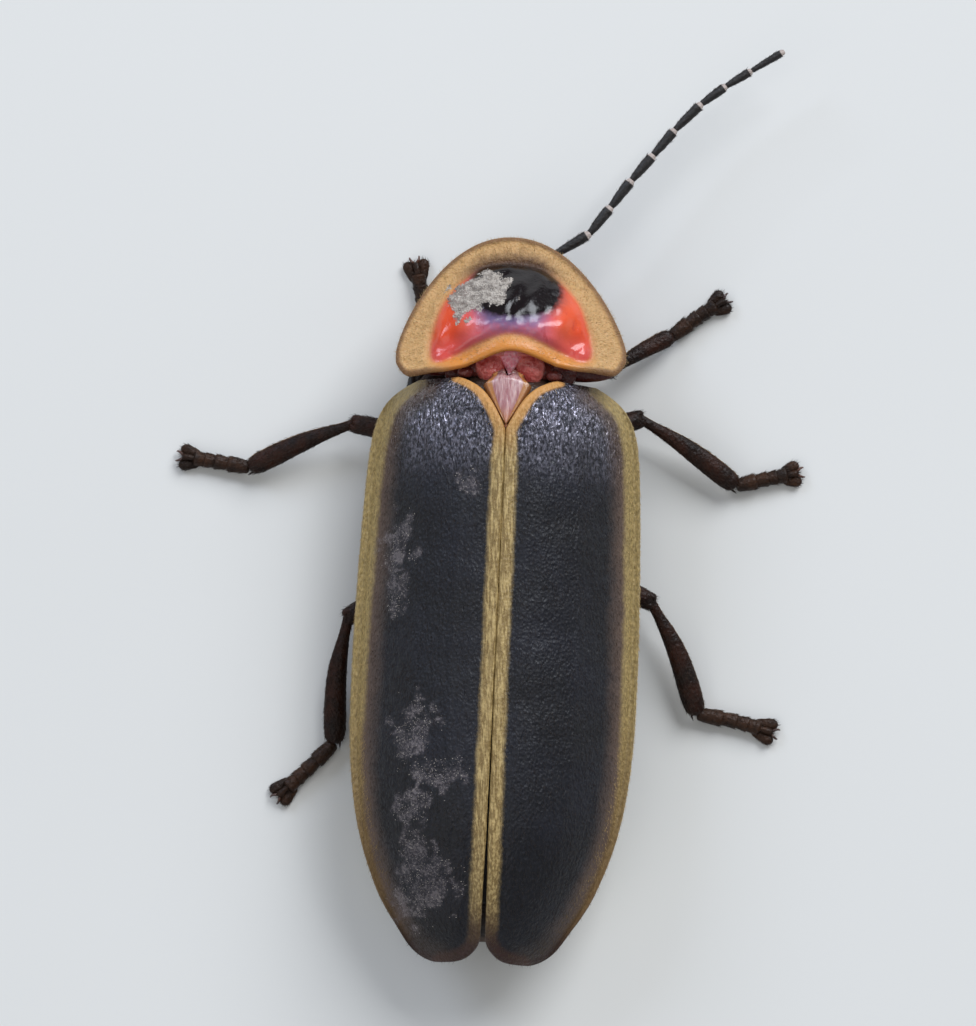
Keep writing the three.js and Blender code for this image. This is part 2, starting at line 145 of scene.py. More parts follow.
def tube(rings, **marks):
    """A skin over rings of corners, closed by a pole at each end."""
    steps, sides, _ = rings.shape
    index = np.arange(steps * sides).reshape(steps, sides)
    looped = np.concatenate([index, index[:, :1]], 1)
    faces = [quads(looped)]
    for pole, ring in ((steps * sides, looped[0][::-1]), (steps * sides + 1, looped[-1])):
        faces.append(np.stack([ring[:-1], ring[1:], np.full(sides, pole), np.full(sides, pole)], 1))
    corners = np.concatenate([rings.reshape(-1, 3), rings[:1].mean(1), rings[-1:].mean(1)])
    filled = {}
    for name, values in marks.items():
        values = np.asarray(values, float)
        flat = values.reshape(steps * sides, *values.shape[2:])
        filled[name] = np.concatenate([flat, values[:1].mean(1), values[-1:].mean(1)])
    return Shape(corners, np.concatenate(faces), **filled)


print("a ring of 8 corners, 3 times:", len(tube(np.random.default_rng(1).random((3, 8, 3))).faces), "faces")

# %% [markdown]
# A wing case or a shield is a thin plate. Blender's Solidify would thicken a sheet, but then
# its rim is a sharp edge. Here the lower side is set in along the normals, and a few rows of
# corners roll the rim over, as the real plate's edge is rolled. Where a plate narrows to a tip
# its normals cross, so its thickness is measured straight down there.

# %% Plates
RIM_TURN = (0.25, 0.5, 0.75)
RIM_SPREAD = 14


def upward_normals(grid):
    normals = unit(np.cross(np.gradient(grid, axis=0), np.gradient(grid, axis=1)))
    return normals * np.sign(normals[..., 2].sum())


def plate(upper, thickness, upright=0.0, **marks):
    """A closed plate under a grid of corners, with a rolled rim.

    Upright, from 0 to 1, says how nearly straight down the thickness is measured.
    """
    rows, cols, _ = upper.shape
    upright = np.broadcast_to(upright, (rows, cols))[..., None]
    normals = unit(upward_normals(upper) * (1 - upright) + UP * upright)
    lower = upper - normals * np.broadcast_to(thickness, (rows, cols))[..., None]
    index = np.arange(rows * cols).reshape(rows, cols)
    loop = np.concatenate([index[0], index[1:, -1], index[-1, -2::-1], index[-2:0:-1, 0]])
    row, col = np.divmod(loop, cols)
    high, low = upper[row, col], lower[row, col]
    half = np.linalg.norm(high - low, axis=1, keepdims=True) / 2
    onward = np.roll(high, -1, 0) - np.roll(high, 1, 0)
    outward = np.cross(onward, unit(high - low))
    outward = outward * np.sign(np.sum(outward * (high - high.mean(0))))
    outward = unit(sum(np.roll(outward, step, 0) for step in range(-RIM_SPREAD, RIM_SPREAD + 1)))
    middle = (high + low) / 2
    rim = [
        middle + math.cos(math.pi * turn) * (high - middle) + math.sin(math.pi * turn) * half * outward
        for turn in RIM_TURN
    ]
    corners = np.concatenate([upper.reshape(-1, 3), lower.reshape(-1, 3), *rim])
    count = rows * cols
    first_rim = 2 * count
    bands = [loop] + [first_rim + k * len(loop) + np.arange(len(loop)) for k in range(len(RIM_TURN))]
    bands.append(loop + count)
    strip = np.stack(bands)
    strip = np.concatenate([strip, strip[:, :1]], 1)
    faces = np.concatenate([quads(index), quads(index + count)[:, ::-1], quads(strip)[:, ::-1]])
    origin = np.concatenate([np.arange(count), np.arange(count)] + [loop] * len(RIM_TURN))
    filled = {
        name: np.asarray(values, float).reshape(count, -1)[origin].squeeze()
        for name, values in marks.items()
    }
    filled["under"] = np.concatenate(
        [np.zeros(count), np.ones(count)] + [np.full(len(loop), turn) for turn in RIM_TURN]
    )
    return Shape(corners, faces, **filled)


flat_square = np.stack([*np.meshgrid(np.arange(40.0), np.arange(40.0)), np.zeros((40, 40))], -1)
print("a plate over 40 by 40 corners:", len(plate(flat_square, 1.0).faces), "faces")

# %% [markdown]
# Legs, feelers and jaws follow a path that is given at a few stops. A curve without kinks is
# drawn through the stops, and it is measured by its own length, so that halfway along the
# path is halfway along the leg.

# %% Paths
PATH_STEPS = 400


def flowing(stops, values, at):
    """Values between stops, on a curve without kinks."""
    stops, values, at = (np.asarray(given, float) for given in (stops, values, at))
    slopes = np.gradient(values, stops, axis=0)
    i = np.clip(np.searchsorted(stops, at, side="right") - 1, 0, len(stops) - 2)
    gap = stops[i + 1] - stops[i]
    s = (at - stops[i]) / gap
    if values.ndim > 1:
        s, gap = s[:, None], gap[:, None]
    return (
        (2 * s**3 - 3 * s**2 + 1) * values[i]
        + (s**3 - 2 * s**2 + s) * gap * slopes[i]
        + (3 * s**2 - 2 * s**3) * values[i + 1]
        + (s**3 - s**2) * gap * slopes[i + 1]
    )


class Path:
    """A smooth path through points, measured by its own length."""

    def __init__(self, points):
        points = np.asarray(points, float)
        chords = np.r_[0, np.cumsum(np.linalg.norm(np.diff(points, axis=0), axis=1))]
        self.places = flowing(chords, points, np.linspace(0, chords[-1], PATH_STEPS))
        self.lengths = np.r_[0, np.cumsum(np.linalg.norm(np.diff(self.places, axis=0), axis=1))]
        self.length = self.lengths[-1]

    def at(self, shares):
        lengths = np.asarray(shares, float) * self.length
        return np.stack([np.interp(lengths, self.lengths, self.places[:, k]) for k in range(3)], -1)

    def ahead(self, shares):
        shares = np.asarray(shares, float)
        return unit(self.at(np.minimum(shares + 0.01, 1)) - self.at(np.maximum(shares - 0.01, 0)))


print("a path through three points is", round(Path([(0, 0, 0), (1, 1, 0), (2, 0, 0)]).length, 2), "mm long")

# %% [markdown]
# A limb is a tube of rings along a path, with its half-width given at a few stops too. Each
# corner remembers how far along the limb it is, how far round, and which way hairs lie there.

# %% Limbs
CLOSED = 0.004
END_SQUARENESS = 6
EDGE_SPREAD = 0.3


def even_ends(count):
    """Shares from 0 to 1 that crowd together at both ends."""
    return 0.5 - 0.5 * np.cos(np.pi * np.linspace(0, 1, count))


def rounded(shares):
    """1 along most of a tube, and falling round to a point at both ends."""
    return np.sqrt(np.maximum(1 - np.abs(2 * shares - 1) ** END_SQUARENESS, CLOSED))


def cap(distance, radius):
    """Closes a limb as half a ball does. Distance is measured from its end."""
    d = np.clip(distance / radius, CLOSED, 1)
    return np.sqrt(d * (2 - d))


def limb(points, stops, sides=20, steps=36, flatness=1.0, ridge=0.0, blunt=1.0, tile=(0.0, 1.0)):
    """A limb along a path. Stops are (share along, half-width), and flatness is height to width.

    A ridge stands out along both edges, blunt shortens the round ends, and tile is the part of
    the unwrapped square that this limb takes when it shares a piece with others.
    """
    path = Path(points)
    shares = even_ends(steps)
    centre, ahead = path.at(shares), path.ahead(shares)
    side = unit(np.cross(ahead, UP))
    top = np.cross(side, ahead)
    width = flowing(*zip(*stops), shares)
    width = width * cap(shares * path.length, stops[0][1] * blunt)
    width = width * cap((1 - shares) * path.length, stops[-1][1] * blunt)
    turn = np.linspace(0, 2 * np.pi, sides, endpoint=False)
    edge = np.exp(-((np.minimum(turn, 2 * np.pi - turn) / EDGE_SPREAD) ** 2))
    edge = edge + np.exp(-(((turn - np.pi) / EDGE_SPREAD) ** 2))
    reach = (np.cos(turn) * (1 + ridge * edge), np.sin(turn) * flatness)
    rings = (
        centre[:, None]
        + side[:, None] * (width[:, None] * reach[0])[..., None]
        + top[:, None] * (width[:, None] * reach[1])[..., None]
    )
    along = np.repeat(shares[:, None], sides, 1)
    around = np.repeat(turn[None] / (2 * np.pi), steps, 0)
    unwrap = np.stack([tile[0] + (tile[1] - tile[0]) * around, along], -1)
    lie = np.repeat(ahead[:, None], sides, 1)
    edge = np.repeat(edge[None], steps, 0) * (0.25 + 0.75 * (ridge > 0))
    fore = -side[:, 1:2] * np.cos(turn)[None]
    return tube(rings, edge=edge, fore=fore, unwrap=unwrap, lie=lie, hair=np.ones_like(along))


print("a straight limb:", len(limb([(0, 0, 0), (1, 0, 0)], [(0, 0.1), (1, 0.1)]).faces), "faces")

# %% [markdown]
# ## Pieces on the frame
# A piece joins one or more shapes into a single object. It stands for the plain solids of the
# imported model, which stay hidden and are used only for collision. The hind body is turned a
# little at the waist, as on the live insect.

# %% Pieces
WAIST_TURN = math.radians(-2.6)
MARK_KINDS = {1: ("FLOAT", "value"), 2: ("FLOAT2", "vector"), 3: ("FLOAT_VECTOR", "vector")}


def turned(points, angle):
    c, s = math.cos(angle), math.sin(angle)
    return points @ np.array([[c, s, 0], [-s, c, 0], [0, 0, 1]])


def add_marks(mesh, marks):
    for name, values in marks.items():
        kind, field = MARK_KINDS[1 if values.ndim == 1 else values.shape[1]]
        mesh.attributes.new(name, kind, "POINT").data.foreach_set(field, values.ravel())


def on_frame(name, mesh, slot, stands_for=()):
    item = bpy.data.objects.new(name, mesh)
    bpy.context.scene.collection.objects.link(item)
    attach(item, "root")
    if stands_for:
        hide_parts(*stands_for)
    return item


def piece(name, shapes, finish, slot, stands_for=(), turn=0.0):
    """One object from closed skins, in place in the frame."""
    starts = np.cumsum([0] + [len(shape.corners) for shape in shapes[:-1]])
    corners = turned(np.concatenate([shape.corners for shape in shapes]), turn)
    faces = np.concatenate([shape.faces + start for shape, start in zip(shapes, starts)])
    mesh = bpy.data.meshes.new(name)
    mesh.from_pydata(in_frame(corners).tolist(), [], [tuple(dict.fromkeys(face)) for face in faces.tolist()])
    shared = set.intersection(*(set(shape.marks) for shape in shapes))
    marks = {mark: np.concatenate([shape.marks[mark] for shape in shapes]) for mark in sorted(shared)}
    if "lie" in marks:
        marks["lie"] = turned(marks["lie"], turn)
    add_marks(mesh, marks)
    mesh.shade_smooth()
    mesh.materials.append(finish)
    print(name, len(mesh.vertices), "corners")
    return on_frame(name, mesh, slot, stands_for)


# %% [markdown]
# ## Writing finishes as sums
# A finish mixes colours by masks, and the masks come from sums of distances and noise. Drawn
# by hand, that is a web of small nodes. Here one class stands for a wire and another adds
# nodes, so that `1 - mask * noise` in Python builds the same web.

# %% Wires


class Wire:
    """One output of a node. Python's operators on it add Math nodes."""

    def __init__(self, nodes, socket):
        self.nodes, self.socket = nodes, socket

    def math(self, operation, first, second):
        return self.nodes.add("ShaderNodeMath", {"operation": operation}, {0: first, 1: second})

    def __add__(self, other):
        return self.math("ADD", self, other)

    def __sub__(self, other):
        return self.math("SUBTRACT", self, other)

    def __rsub__(self, other):
        return self.math("SUBTRACT", other, self)

    def __mul__(self, other):
        return self.math("MULTIPLY", self, other)

    __radd__ = __add__


# %% [markdown]
# A few kinds of node are enough for a whole insect: mixing two colours, a soft step, noise,
# scattered cells, crooked ridges, and a bump. Each gets a short name here. Noise is read at
# the place in millimetres, so that a grain of a given size stays that size on every piece.

# %% Nodes


class Nodes:
    """Adds nodes to one tree and wires them up."""

    def __init__(self, tree):
        self.tree = tree

    def add(self, kind, settings=None, values=None, output=0):
        node = self.tree.nodes.new(kind)
        for name, value in (settings or {}).items():
            setattr(node, name, value)
        for key, value in (values or {}).items():
            if isinstance(value, Wire):
                self.tree.links.new(value.socket, node.inputs[key])
            else:
                node.inputs[key].default_value = value
        return Wire(self, node.outputs[output])

    def mix(self, factor, first, second):
        """A colour between two others."""
        values = {0: factor, 6: first, 7: second}
        return self.add("ShaderNodeMix", {"data_type": "RGBA"}, values, output=2)

    def smooth(self, value, low, high):
        """0 below low, 1 above high, and a soft step between."""
        values = {"Value": value, "From Min": low, "From Max": high}
        return self.add("ShaderNodeMapRange", {"interpolation_type": "SMOOTHSTEP"}, values)

    def vector(self, operation, first, second):
        key = "Scale" if operation == "SCALE" else 1
        return self.add("ShaderNodeVectorMath", {"operation": operation}, {0: first, key: second})

    def mark(self, name):
        """A number kept in the mesh, such as the distance from an edge."""
        return self.add("ShaderNodeAttribute", {"attribute_name": name}, output="Fac")

    def place(self):
        """The place in millimetres."""
        metres = self.add("ShaderNodeTexCoord", output="Object")
        return self.vector("SUBTRACT", self.vector("SCALE", metres, 1 / MM), tuple(SHIFT))

    def noise(self, place, scale, detail=3.0, roughness=0.55):
        values = {"Vector": place, "Scale": scale, "Detail": detail, "Roughness": roughness}
        return self.add("ShaderNodeTexNoise", None, values)

    def cells(self, place, scale):
        """How far the nearest of many scattered spots is."""
        values = {"Vector": place, "Scale": scale}
        return self.add("ShaderNodeTexVoronoi", {"feature": "F1"}, values, output="Distance")

    def ridges(self, place):
        """Crooked ridges, 1 along their tops and 0 in the hollows."""
        values = {"Vector": place, "Scale": 1.0, "Detail": 2.0, "Roughness": 0.5, "Distortion": 0.6}
        wandering = self.add("ShaderNodeTexNoise", None, values) * 2 - 1
        return 1 - wandering.math("ABSOLUTE", wandering, 0.0) * 2.2

    def relief(self, height):
        """A bump from a height in millimetres."""
        return self.add("ShaderNodeBump", None, {"Strength": 1.0, "Distance": MM, "Height": height})


# %% [markdown]
# Colours are written as they look on a paint chip, and turned into linear light for the
# shader. A finish is one shader: what varies over the surface is wired in, and what is the
# same everywhere is set on the shader itself.

# %% Colours and finishes


def colour(hexadecimal):
    """A paint chip's colour as the numbers that light is reckoned in."""
    channels = [int(hexadecimal[i : i + 2], 16) / 255 for i in (0, 2, 4)]
    linear = [c / 12.92 if c <= 0.04045 else ((c + 0.055) / 1.055) ** 2.4 for c in channels]
    return (*linear, 1.0)


def finish(name, wiring, **constants):
    """A material. Wiring returns what changes over the surface, and constants are the shader's own."""
    material = bpy.data.materials.new(name)
    material.use_nodes = True
    nodes = Nodes(material.node_tree)
    shader = material.node_tree.nodes["Principled BSDF"]
    for label, value in constants.items():
        shader.inputs[label.replace("_", " ")].default_value = value
    for label, wire in wiring(nodes).items():
        nodes.tree.links.new(wire.socket, shader.inputs[label])
    return material


print("middle grey in linear light:", round(colour("808080")[0], 3))

# %% [markdown]
# ## Wing cases
# The wing cases are the hardened front wings. Each is a leathery shell no thicker than paper,
# black-brown with a pale rim outside and along the seam. Its outline, crown and seam are
# simple functions of how far along it we are, so the shell is a plate worked out on a grid
# rather than a sculpted mesh. The rim folds under along the flank.

# %% The outline of a wing case
CASE_LENGTH = 10.1
CASE_WIDTH = 2.49
SEAM_GAP = 0.02
SEAM_OPENING = 0.03
TIP_START = 0.93
TIP_REACH = 0.77
SLOPE_DEPTH, SLOPE_END = 0.075, 0.48
CORNER_DEPTH, CORNER_LENGTH = 0.312, 0.0345
RIM_HEIGHT, CROWN_HEIGHT = 1.4, 1.45


def soft_step(x, low, high):
    t = np.clip((x - low) / (high - low), 0, 1)
    return t * t * (3 - 2 * t)


def case_outer(share):
    """Distance from the middle to a case's outer rim."""
    slope = SLOPE_DEPTH * np.maximum(0, 1 - share / SLOPE_END) ** 1.6
    shoulder = slope + CORNER_DEPTH * np.exp(-share / CORNER_LENGTH)
    behind = np.clip((share - 0.5) / 0.5, 0, 1) ** 2.9
    bluntness = 0.72 - 0.12 * soft_step(share, TIP_START, 1)
    return TIP_REACH + (CASE_WIDTH * (1 - shoulder) - TIP_REACH) * (1 - behind) ** bluntness


def case_inner(share):
    """Distance from the middle to a case's inner edge, which leaves room for the scutellum."""
    beside_scutellum = 0.5 * np.maximum(0, 1 - share / 0.095) ** 1.1 + 0.34 * np.exp(-share / 0.015)
    gap = SEAM_GAP + SEAM_OPENING * np.maximum(0, (share - 0.5) / 0.5)
    into_tip = np.clip((share - 0.95) / 0.05, 0, 1)
    return gap + beside_scutellum + (TIP_REACH - 0.1) * (1 - np.sqrt(1 - into_tip**2))


def case_top(across, share):
    """Height of the upper surface. Across runs from 0 at the middle to 1 at the rim."""
    behind = np.maximum(0, (share - 0.55) / 0.45)
    rim = RIM_HEIGHT - 0.25 * soft_step(share, 0.75, 1)
    shoulder_slope = 0.25 * np.exp(-share / 0.02) + 0.22 * np.exp(-share / 0.06)
    crown = CROWN_HEIGHT * (1 - 0.6 * behind**3 - 0.14 * behind**12) - shoulder_slope
    return rim + crown * np.maximum(0, 1 - (across / 0.94) ** 2.5)


print("widest case:", round(float(case_outer(np.linspace(0, 1, 200)).max()), 2), "mm")

# %% [markdown]
# No skin is quite even, and dust never lies in neat ovals. Both come from a few waves that
# cross at random angles: added to a height they make dents, and added to an oval they make
# its edge ragged. The draws are seeded, so each run makes the same insect.

# %% Dents and dusty patches
WAVE_LENGTHS = (0.5, 2.2)


def dents(x, y, seed, count=26, size=0.012):
    """A gentle unevenness from a few crossing waves."""
    draw = np.random.default_rng(seed)
    total = np.zeros_like(x)
    for _ in range(count):
        angle, wave, phase = draw.uniform(0, math.pi), draw.uniform(*WAVE_LENGTHS), draw.uniform(0, 6.3)
        total += np.sin((x * math.cos(angle) + y * math.sin(angle)) * 2 * math.pi / wave + phase)
    return total * size / math.sqrt(count)


def nearest(points, line):
    """How far each point is from the nearest corner of a line, seen from above."""
    return np.sqrt(((points[..., None, :2] - line[:, :2]) ** 2).sum(-1)).min(-1)


def scattered_patches(points, patches, seed):
    """1 inside oval patches with ragged edges, and 0 outside."""
    x, y = points[..., 0], points[..., 1]
    ragged = dents(x * 1.5, y * 1.5, seed, count=40, size=0.16)
    ragged = ragged + dents(x * 5, y * 5, seed + 1, count=40, size=0.24)
    inside = [1 - np.hypot((x - px) / rx, (y - py) / ry) for px, py, rx, ry in patches]
    return soft_step(np.max(inside, 0) + ragged, -0.05, 0.25)


print("dents at one spot:", dents(np.array([1.0]), np.array([2.0]), seed=4).round(4), "mm")

# %% [markdown]
# The rim of a case runs along the seam, round the tip and back along the flank. Its two sides
# share the tip, where the rows of the grid bend until the last row is the tip itself. The
# line is drawn in by the radius of the rolled edge, which then stands out to the outline.

# %% The rim of a wing case
ROLL = 0.045
CASE_COLUMNS, CASE_ROWS = 70, 230
CASE_DUST = [
    (1.57, 6.07, 0.42, 0.6), (1.17, 6.85, 0.55, 0.3), (1.69, 7.42, 0.4, 0.32), (1.43, 8.8, 0.6, 0.6),
    (1.86, 2.9, 0.34, 0.5), (0.7, 1.87, 0.26, 0.26), (1.9, 3.7, 0.2, 0.5), (1.6, 8.1, 0.3, 0.4),
]


def case_rim():
    """A case's rim seen from above, in three runs: its inner side, round its tip, and its outer side."""
    sides = TIP_START * even_ends(CASE_ROWS)
    round_tip = np.linspace(-1, 1, CASE_COLUMNS)
    tip = 1 - (1 - TIP_START) * np.abs(round_tip) ** 1.7
    at_tip = np.where(round_tip < 0, case_inner(tip), case_outer(tip))
    x = np.concatenate([case_inner(sides), at_tip, case_outer(sides)[::-1]])
    line = np.stack([x, CASE_LENGTH * np.concatenate([sides, tip, sides[::-1]])], -1)
    ahead = unit(np.gradient(line, axis=0))
    line = line + ROLL * np.stack([ahead[:, 1], -ahead[:, 0]], -1)
    line[:, 1] = ROLL + line[:, 1] * (1 - ROLL / CASE_LENGTH)
    inner, tip, outer = np.split(line, [CASE_ROWS, CASE_ROWS + CASE_COLUMNS])
    return inner, tip, outer[::-1]


print("the rim of a case ends at", case_rim()[1][:, 1].max().round(3), "mm")

# %% [markdown]
# On the grid the case gets what makes it look alive: a shoulder hump, faint ribs, a bead
# along the seam and shallow dents from drying. The distance of each corner from the rim and
# from the seam is kept as a mark for the finish.

# %% The shell of a wing case
CASE_SKIN = 0.09
FOLD_COLUMNS = 12
FOLD_START, FOLD_DROP = 0.03, 0.4
RIB_PLACES, RIB_HEIGHT, RIB_WIDTH = (0.3, 0.56), 0.014, 0.03


def wing_case(side):
    inner, tip, outer = case_rim()
    across = np.linspace(0, 1, CASE_COLUMNS)[None, :, None]
    straight = inner[:, None] + (outer - inner)[:, None] * across
    # Towards the tip the rows bend, until the last one runs along the tip itself.
    bending = soft_step(even_ends(CASE_ROWS), 0.55, 1)[:, None, None] ** 1.5
    plan = straight + (tip - straight[-1]) * bending
    x, y = plan[..., 0], plan[..., 1]
    shares = y / CASE_LENGTH
    lane = np.minimum(x / case_outer(shares), 1)
    half_tip = CASE_COLUMNS // 2
    from_seam = nearest(plan, np.concatenate([inner, tip[:half_tip]]))
    from_rim = nearest(plan, np.concatenate([outer, tip[half_tip:]]))
    z = case_top(lane, shares)
    z = z + 0.05 * np.exp(-(((lane - 0.7) / 0.14) ** 2) - ((shares - 0.06) / 0.045) ** 2)
    for rib in RIB_PLACES:
        fading = soft_step(shares, 0.05, 0.2) * (1 - soft_step(shares, 0.7, 0.9))
        z = z + RIB_HEIGHT * np.exp(-(((lane - rib) / RIB_WIDTH) ** 2)) * fading
    z = z + 0.03 * np.exp(-((from_seam / 0.07) ** 2)) - 0.02 * np.exp(-(((from_seam - 0.22) / 0.08) ** 2))
    z = z + dents(x * side, y, seed=4) * soft_step(np.minimum(from_rim, from_seam), 0.1, 0.5)
    z = z + 0.03 * np.exp(-((from_rim / 0.05) ** 2))
    top = np.stack([x, y, z], -1)
    # The rim turns down and folds under, most of all at the shoulder.
    rim_line = top[:, -1]
    ahead = unit(np.gradient(rim_line[:, :2], axis=0))
    outward = np.stack([ahead[:, 1], -ahead[:, 0], np.zeros(CASE_ROWS)], -1)[:, None]
    turn = np.linspace(0, 1, FOLD_COLUMNS + 1)[1:][None, :, None]
    drop = FOLD_START + FOLD_DROP * (1 - soft_step(shares[:, -1], 0.5, TIP_START))[:, None, None]
    lean = (drop - FOLD_START) * (0.07 * np.sin(math.pi * turn) - 0.25 * turn**2)
    fold = rim_line[:, None] + outward * lean - UP * drop * turn
    grid = np.concatenate([top, fold], 1)
    rim = from_rim + 0.25 * np.exp(-shares / 0.025)
    rim = np.concatenate([rim, np.zeros(fold.shape[:2])], 1)
    seam = np.concatenate([from_seam, np.repeat(from_seam[:, -1:], FOLD_COLUMNS, 1)], 1)
    along = np.concatenate([shares, np.repeat(shares[:, -1:], FOLD_COLUMNS, 1)], 1)
    columns = np.broadcast_to(np.linspace(0.02, 0.98, CASE_COLUMNS + FOLD_COLUMNS), rim.shape)
    unwrap = np.stack([columns, 0.02 + 0.96 * along], -1)
    slope = np.gradient(grid[..., 2], axis=0) * 8
    lie = unit(np.stack([0.25 * np.ones_like(rim) * side, np.ones_like(rim), slope], -1))
    grid = grid * (side, 1, 1)
    dust = scattered_patches(turned(grid, WAIST_TURN), CASE_DUST, seed=6) if side > 0 else 0 * rim
    thinning = soft_step(along, 0.75, TIP_START) * (1 - soft_step(rim, 0.1, 0.5))
    thickness = CASE_SKIN * (1 - 0.7 * thinning) + 0.02 * np.exp(-((seam / 0.1) ** 2)) * (1 - thinning)
    shell = plate(
        grid, thickness, upright=soft_step(along, 0.78, 0.9), rim=rim, seam=seam, along=along,
        unwrap=unwrap, lie=lie, hair=1 - 0.9 * dust, dust=dust,
    )
    upper = shell.marks["under"] < 0.5
    shell.marks["hair"] = shell.marks["hair"] * upper
    shell.marks["dust"] = shell.marks["dust"] * upper
    on_rim = 1 - soft_step(shell.marks["rim"], 0.2, 0.34)
    on_seam = 1 - soft_step(shell.marks["seam"], 0.12, 0.22)
    dark_tip = 0.9 * soft_step(shell.marks["along"], 0.75, 0.97)
    shell.marks["tint"] = np.maximum(on_rim, on_seam) * (1 - dark_tip)
    return shell


# %% [markdown]
# The finish of the cases is charcoal skin with a fine grain of wrinkles, glossier at the
# shoulders. The pale rim melts into the dark through a mauve-brown band, because the pigment
# thins out there. Distances kept in the mesh place the bands, and noise makes their edges
# waver, which an even stripe would not do. On the shoulders the crests of the grain glitter
# like glass, so the shader gets some metal there.

# %% The finish of the wing cases


def wing_case_wiring(nodes):
    place = nodes.place()
    rim, seam, along = nodes.mark("rim"), nodes.mark("seam"), nodes.mark("along")
    waver = (nodes.noise(place, 2.2) - 0.5) * 0.1 + (nodes.noise(place, 18.0) - 0.5) * 0.06
    worms = nodes.ridges(nodes.vector("MULTIPLY", place, (10.0, 3.6, 10.0)))
    fine = nodes.noise(nodes.vector("MULTIPLY", place, (24.0, 12.0, 24.0)), 1.0, 3.0, 0.6)
    granules = nodes.cells(place, 17.0)
    narrowing = nodes.smooth(along, 0.45, 0.95)
    at_tip = nodes.smooth(along + waver * 0.3, 0.88, 0.975)
    reach = 0.27 - narrowing * 0.17
    pale_rim = 1 - nodes.smooth(rim + waver - reach, -0.06, 0.05)
    mauve = 1 - nodes.smooth(rim + waver * 2 - reach, -0.02, 0.34)
    by_scutellum = 1 - nodes.smooth(along, 0.04, 0.16)
    from_seam = seam * (1 + by_scutellum * 0.6) + waver * 0.7
    pale_seam = (1 - nodes.smooth(from_seam, 0.1, 0.21)) * (1 - at_tip * 0.45)
    blotch = nodes.noise(place, 0.7, 2.0)
    dark = nodes.mix(nodes.smooth(blotch, 0.35, 0.7), colour("0b0b10"), colour("13141d"))
    dark = nodes.mix(nodes.smooth(fine, 0.45, 0.75) * 0.6, dark, colour("22222a"))
    ochre = nodes.mix(nodes.smooth(fine, 0.3, 0.7), colour("7d6b42"), colour("a9925f"))
    tip_brown = nodes.mix(narrowing * 0.8, ochre, colour("66492f"))
    tip_brown = nodes.mix(at_tip, tip_brown, colour("2f1b15"))
    streaks = nodes.noise(nodes.vector("MULTIPLY", place, (30.0, 4.0, 30.0)), 1.0, 3.0)
    seam_tan = nodes.mix(nodes.smooth(streaks, 0.4, 0.65), colour("80693f"), colour("b9a06c"))
    seam_tan = nodes.mix(by_scutellum * 0.85, seam_tan, colour("cb9150"))
    seam_tan = nodes.mix(at_tip, seam_tan, colour("4b2d20"))
    shoulder = 1 - nodes.smooth(along + waver * 0.3, 0.05, 0.2)
    on_dark = (1 - pale_rim) * (1 - pale_seam)
    crests = 0.3 + nodes.smooth(fine, 0.42, 0.58) * 0.7
    polish = shoulder * on_dark * (1 - mauve * 0.6) * nodes.smooth(blotch, 0.2, 0.6) * crests
    glint = nodes.mix(nodes.smooth(fine, 0.3, 0.7), colour("5a5b66"), colour("a29eac"))
    dark = nodes.mix(polish, dark, glint)
    skin = nodes.mix(mauve * (0.65 - at_tip * 0.45), dark, colour("70594b"))
    skin = nodes.mix(pale_rim, skin, tip_brown)
    skin = nodes.mix(pale_seam, skin, seam_tan)
    dust = nodes.mark("dust")
    thick = dust * (nodes.noise(place, 3.5, 2.0) * 2.2 - 0.5)
    specks = nodes.smooth(nodes.noise(place, 24.0, 5.0, 0.75) + thick * 0.2, 0.58, 0.74) * dust
    skin = nodes.mix(nodes.smooth(thick, 0.0, 1.0) * 0.3, skin, colour("5a5358"))
    skin = nodes.mix(specks * 0.42, skin, colour("8d8484"))
    skin = nodes.mix(nodes.smooth(nodes.mark("under"), 0.5, 0.9) * 0.8, skin, colour("3a2c22"))
    roughness = 0.48 - shoulder * on_dark * 0.29 + dust * 0.15 + (fine - 0.5) * 0.2
    wrinkles = worms * (0.009 + shoulder * 0.034) * (0.25 + on_dark * 0.75)
    height = wrinkles + fine * 0.009 + granules * 0.01
    return {
        "Base Color": skin,
        "Roughness": roughness,
        "Metallic": polish * 0.8,
        "Normal": nodes.relief(height),
    }


case_finish = finish("wing_case_cuticle", wing_case_wiring, Specular_IOR_Level=0.38)
SIDES = {"left": 1, "right": -1}
cases = {}
for side_name, side in SIDES.items():
    node = f"wing_case_{side_name}"
    cases[side_name] = piece(
        f"{node}_shell", [wing_case(side)], case_finish, "wing_case", [node], turn=WAIST_TURN
    )

# %% [markdown]
# ## Shield
# The shield, or pronotum, is the broad plate over the head. Its middle is a glossy dome and
# its margins are flat and dull, with a thick amber lip behind. It is one plate on a grid: the
# outline gives the front and hind edges, and small humps and grooves are added to its height.

# %% The outline of the shield
SHIELD_HALF_WIDTH = 2.0
SHIELD_WIDEST = -0.5
SHIELD_HIND = -0.34
SHIELD_LENGTH = 2.4
SHIELD_HEIGHT, SHIELD_RISE, DOME_HEIGHT = 1.62, 0.85, 0.38


def shield_front_edge(x):
    share = np.minimum(1, np.abs(x / SHIELD_HALF_WIDTH))
    return SHIELD_WIDEST - (SHIELD_WIDEST - SHIELD_FRONT) * (1 - share**2.08) ** 0.8


def shield_hind_edge(x):
    lobes = 0.29 * (1 - np.exp(-((x / 0.65) ** 2))) + 0.05 * np.abs(x / 1.72) ** 4
    corner = 0.25 * np.maximum(0, (np.abs(x) - 1.78) / 0.22) ** 2
    return SHIELD_HIND + lobes - corner


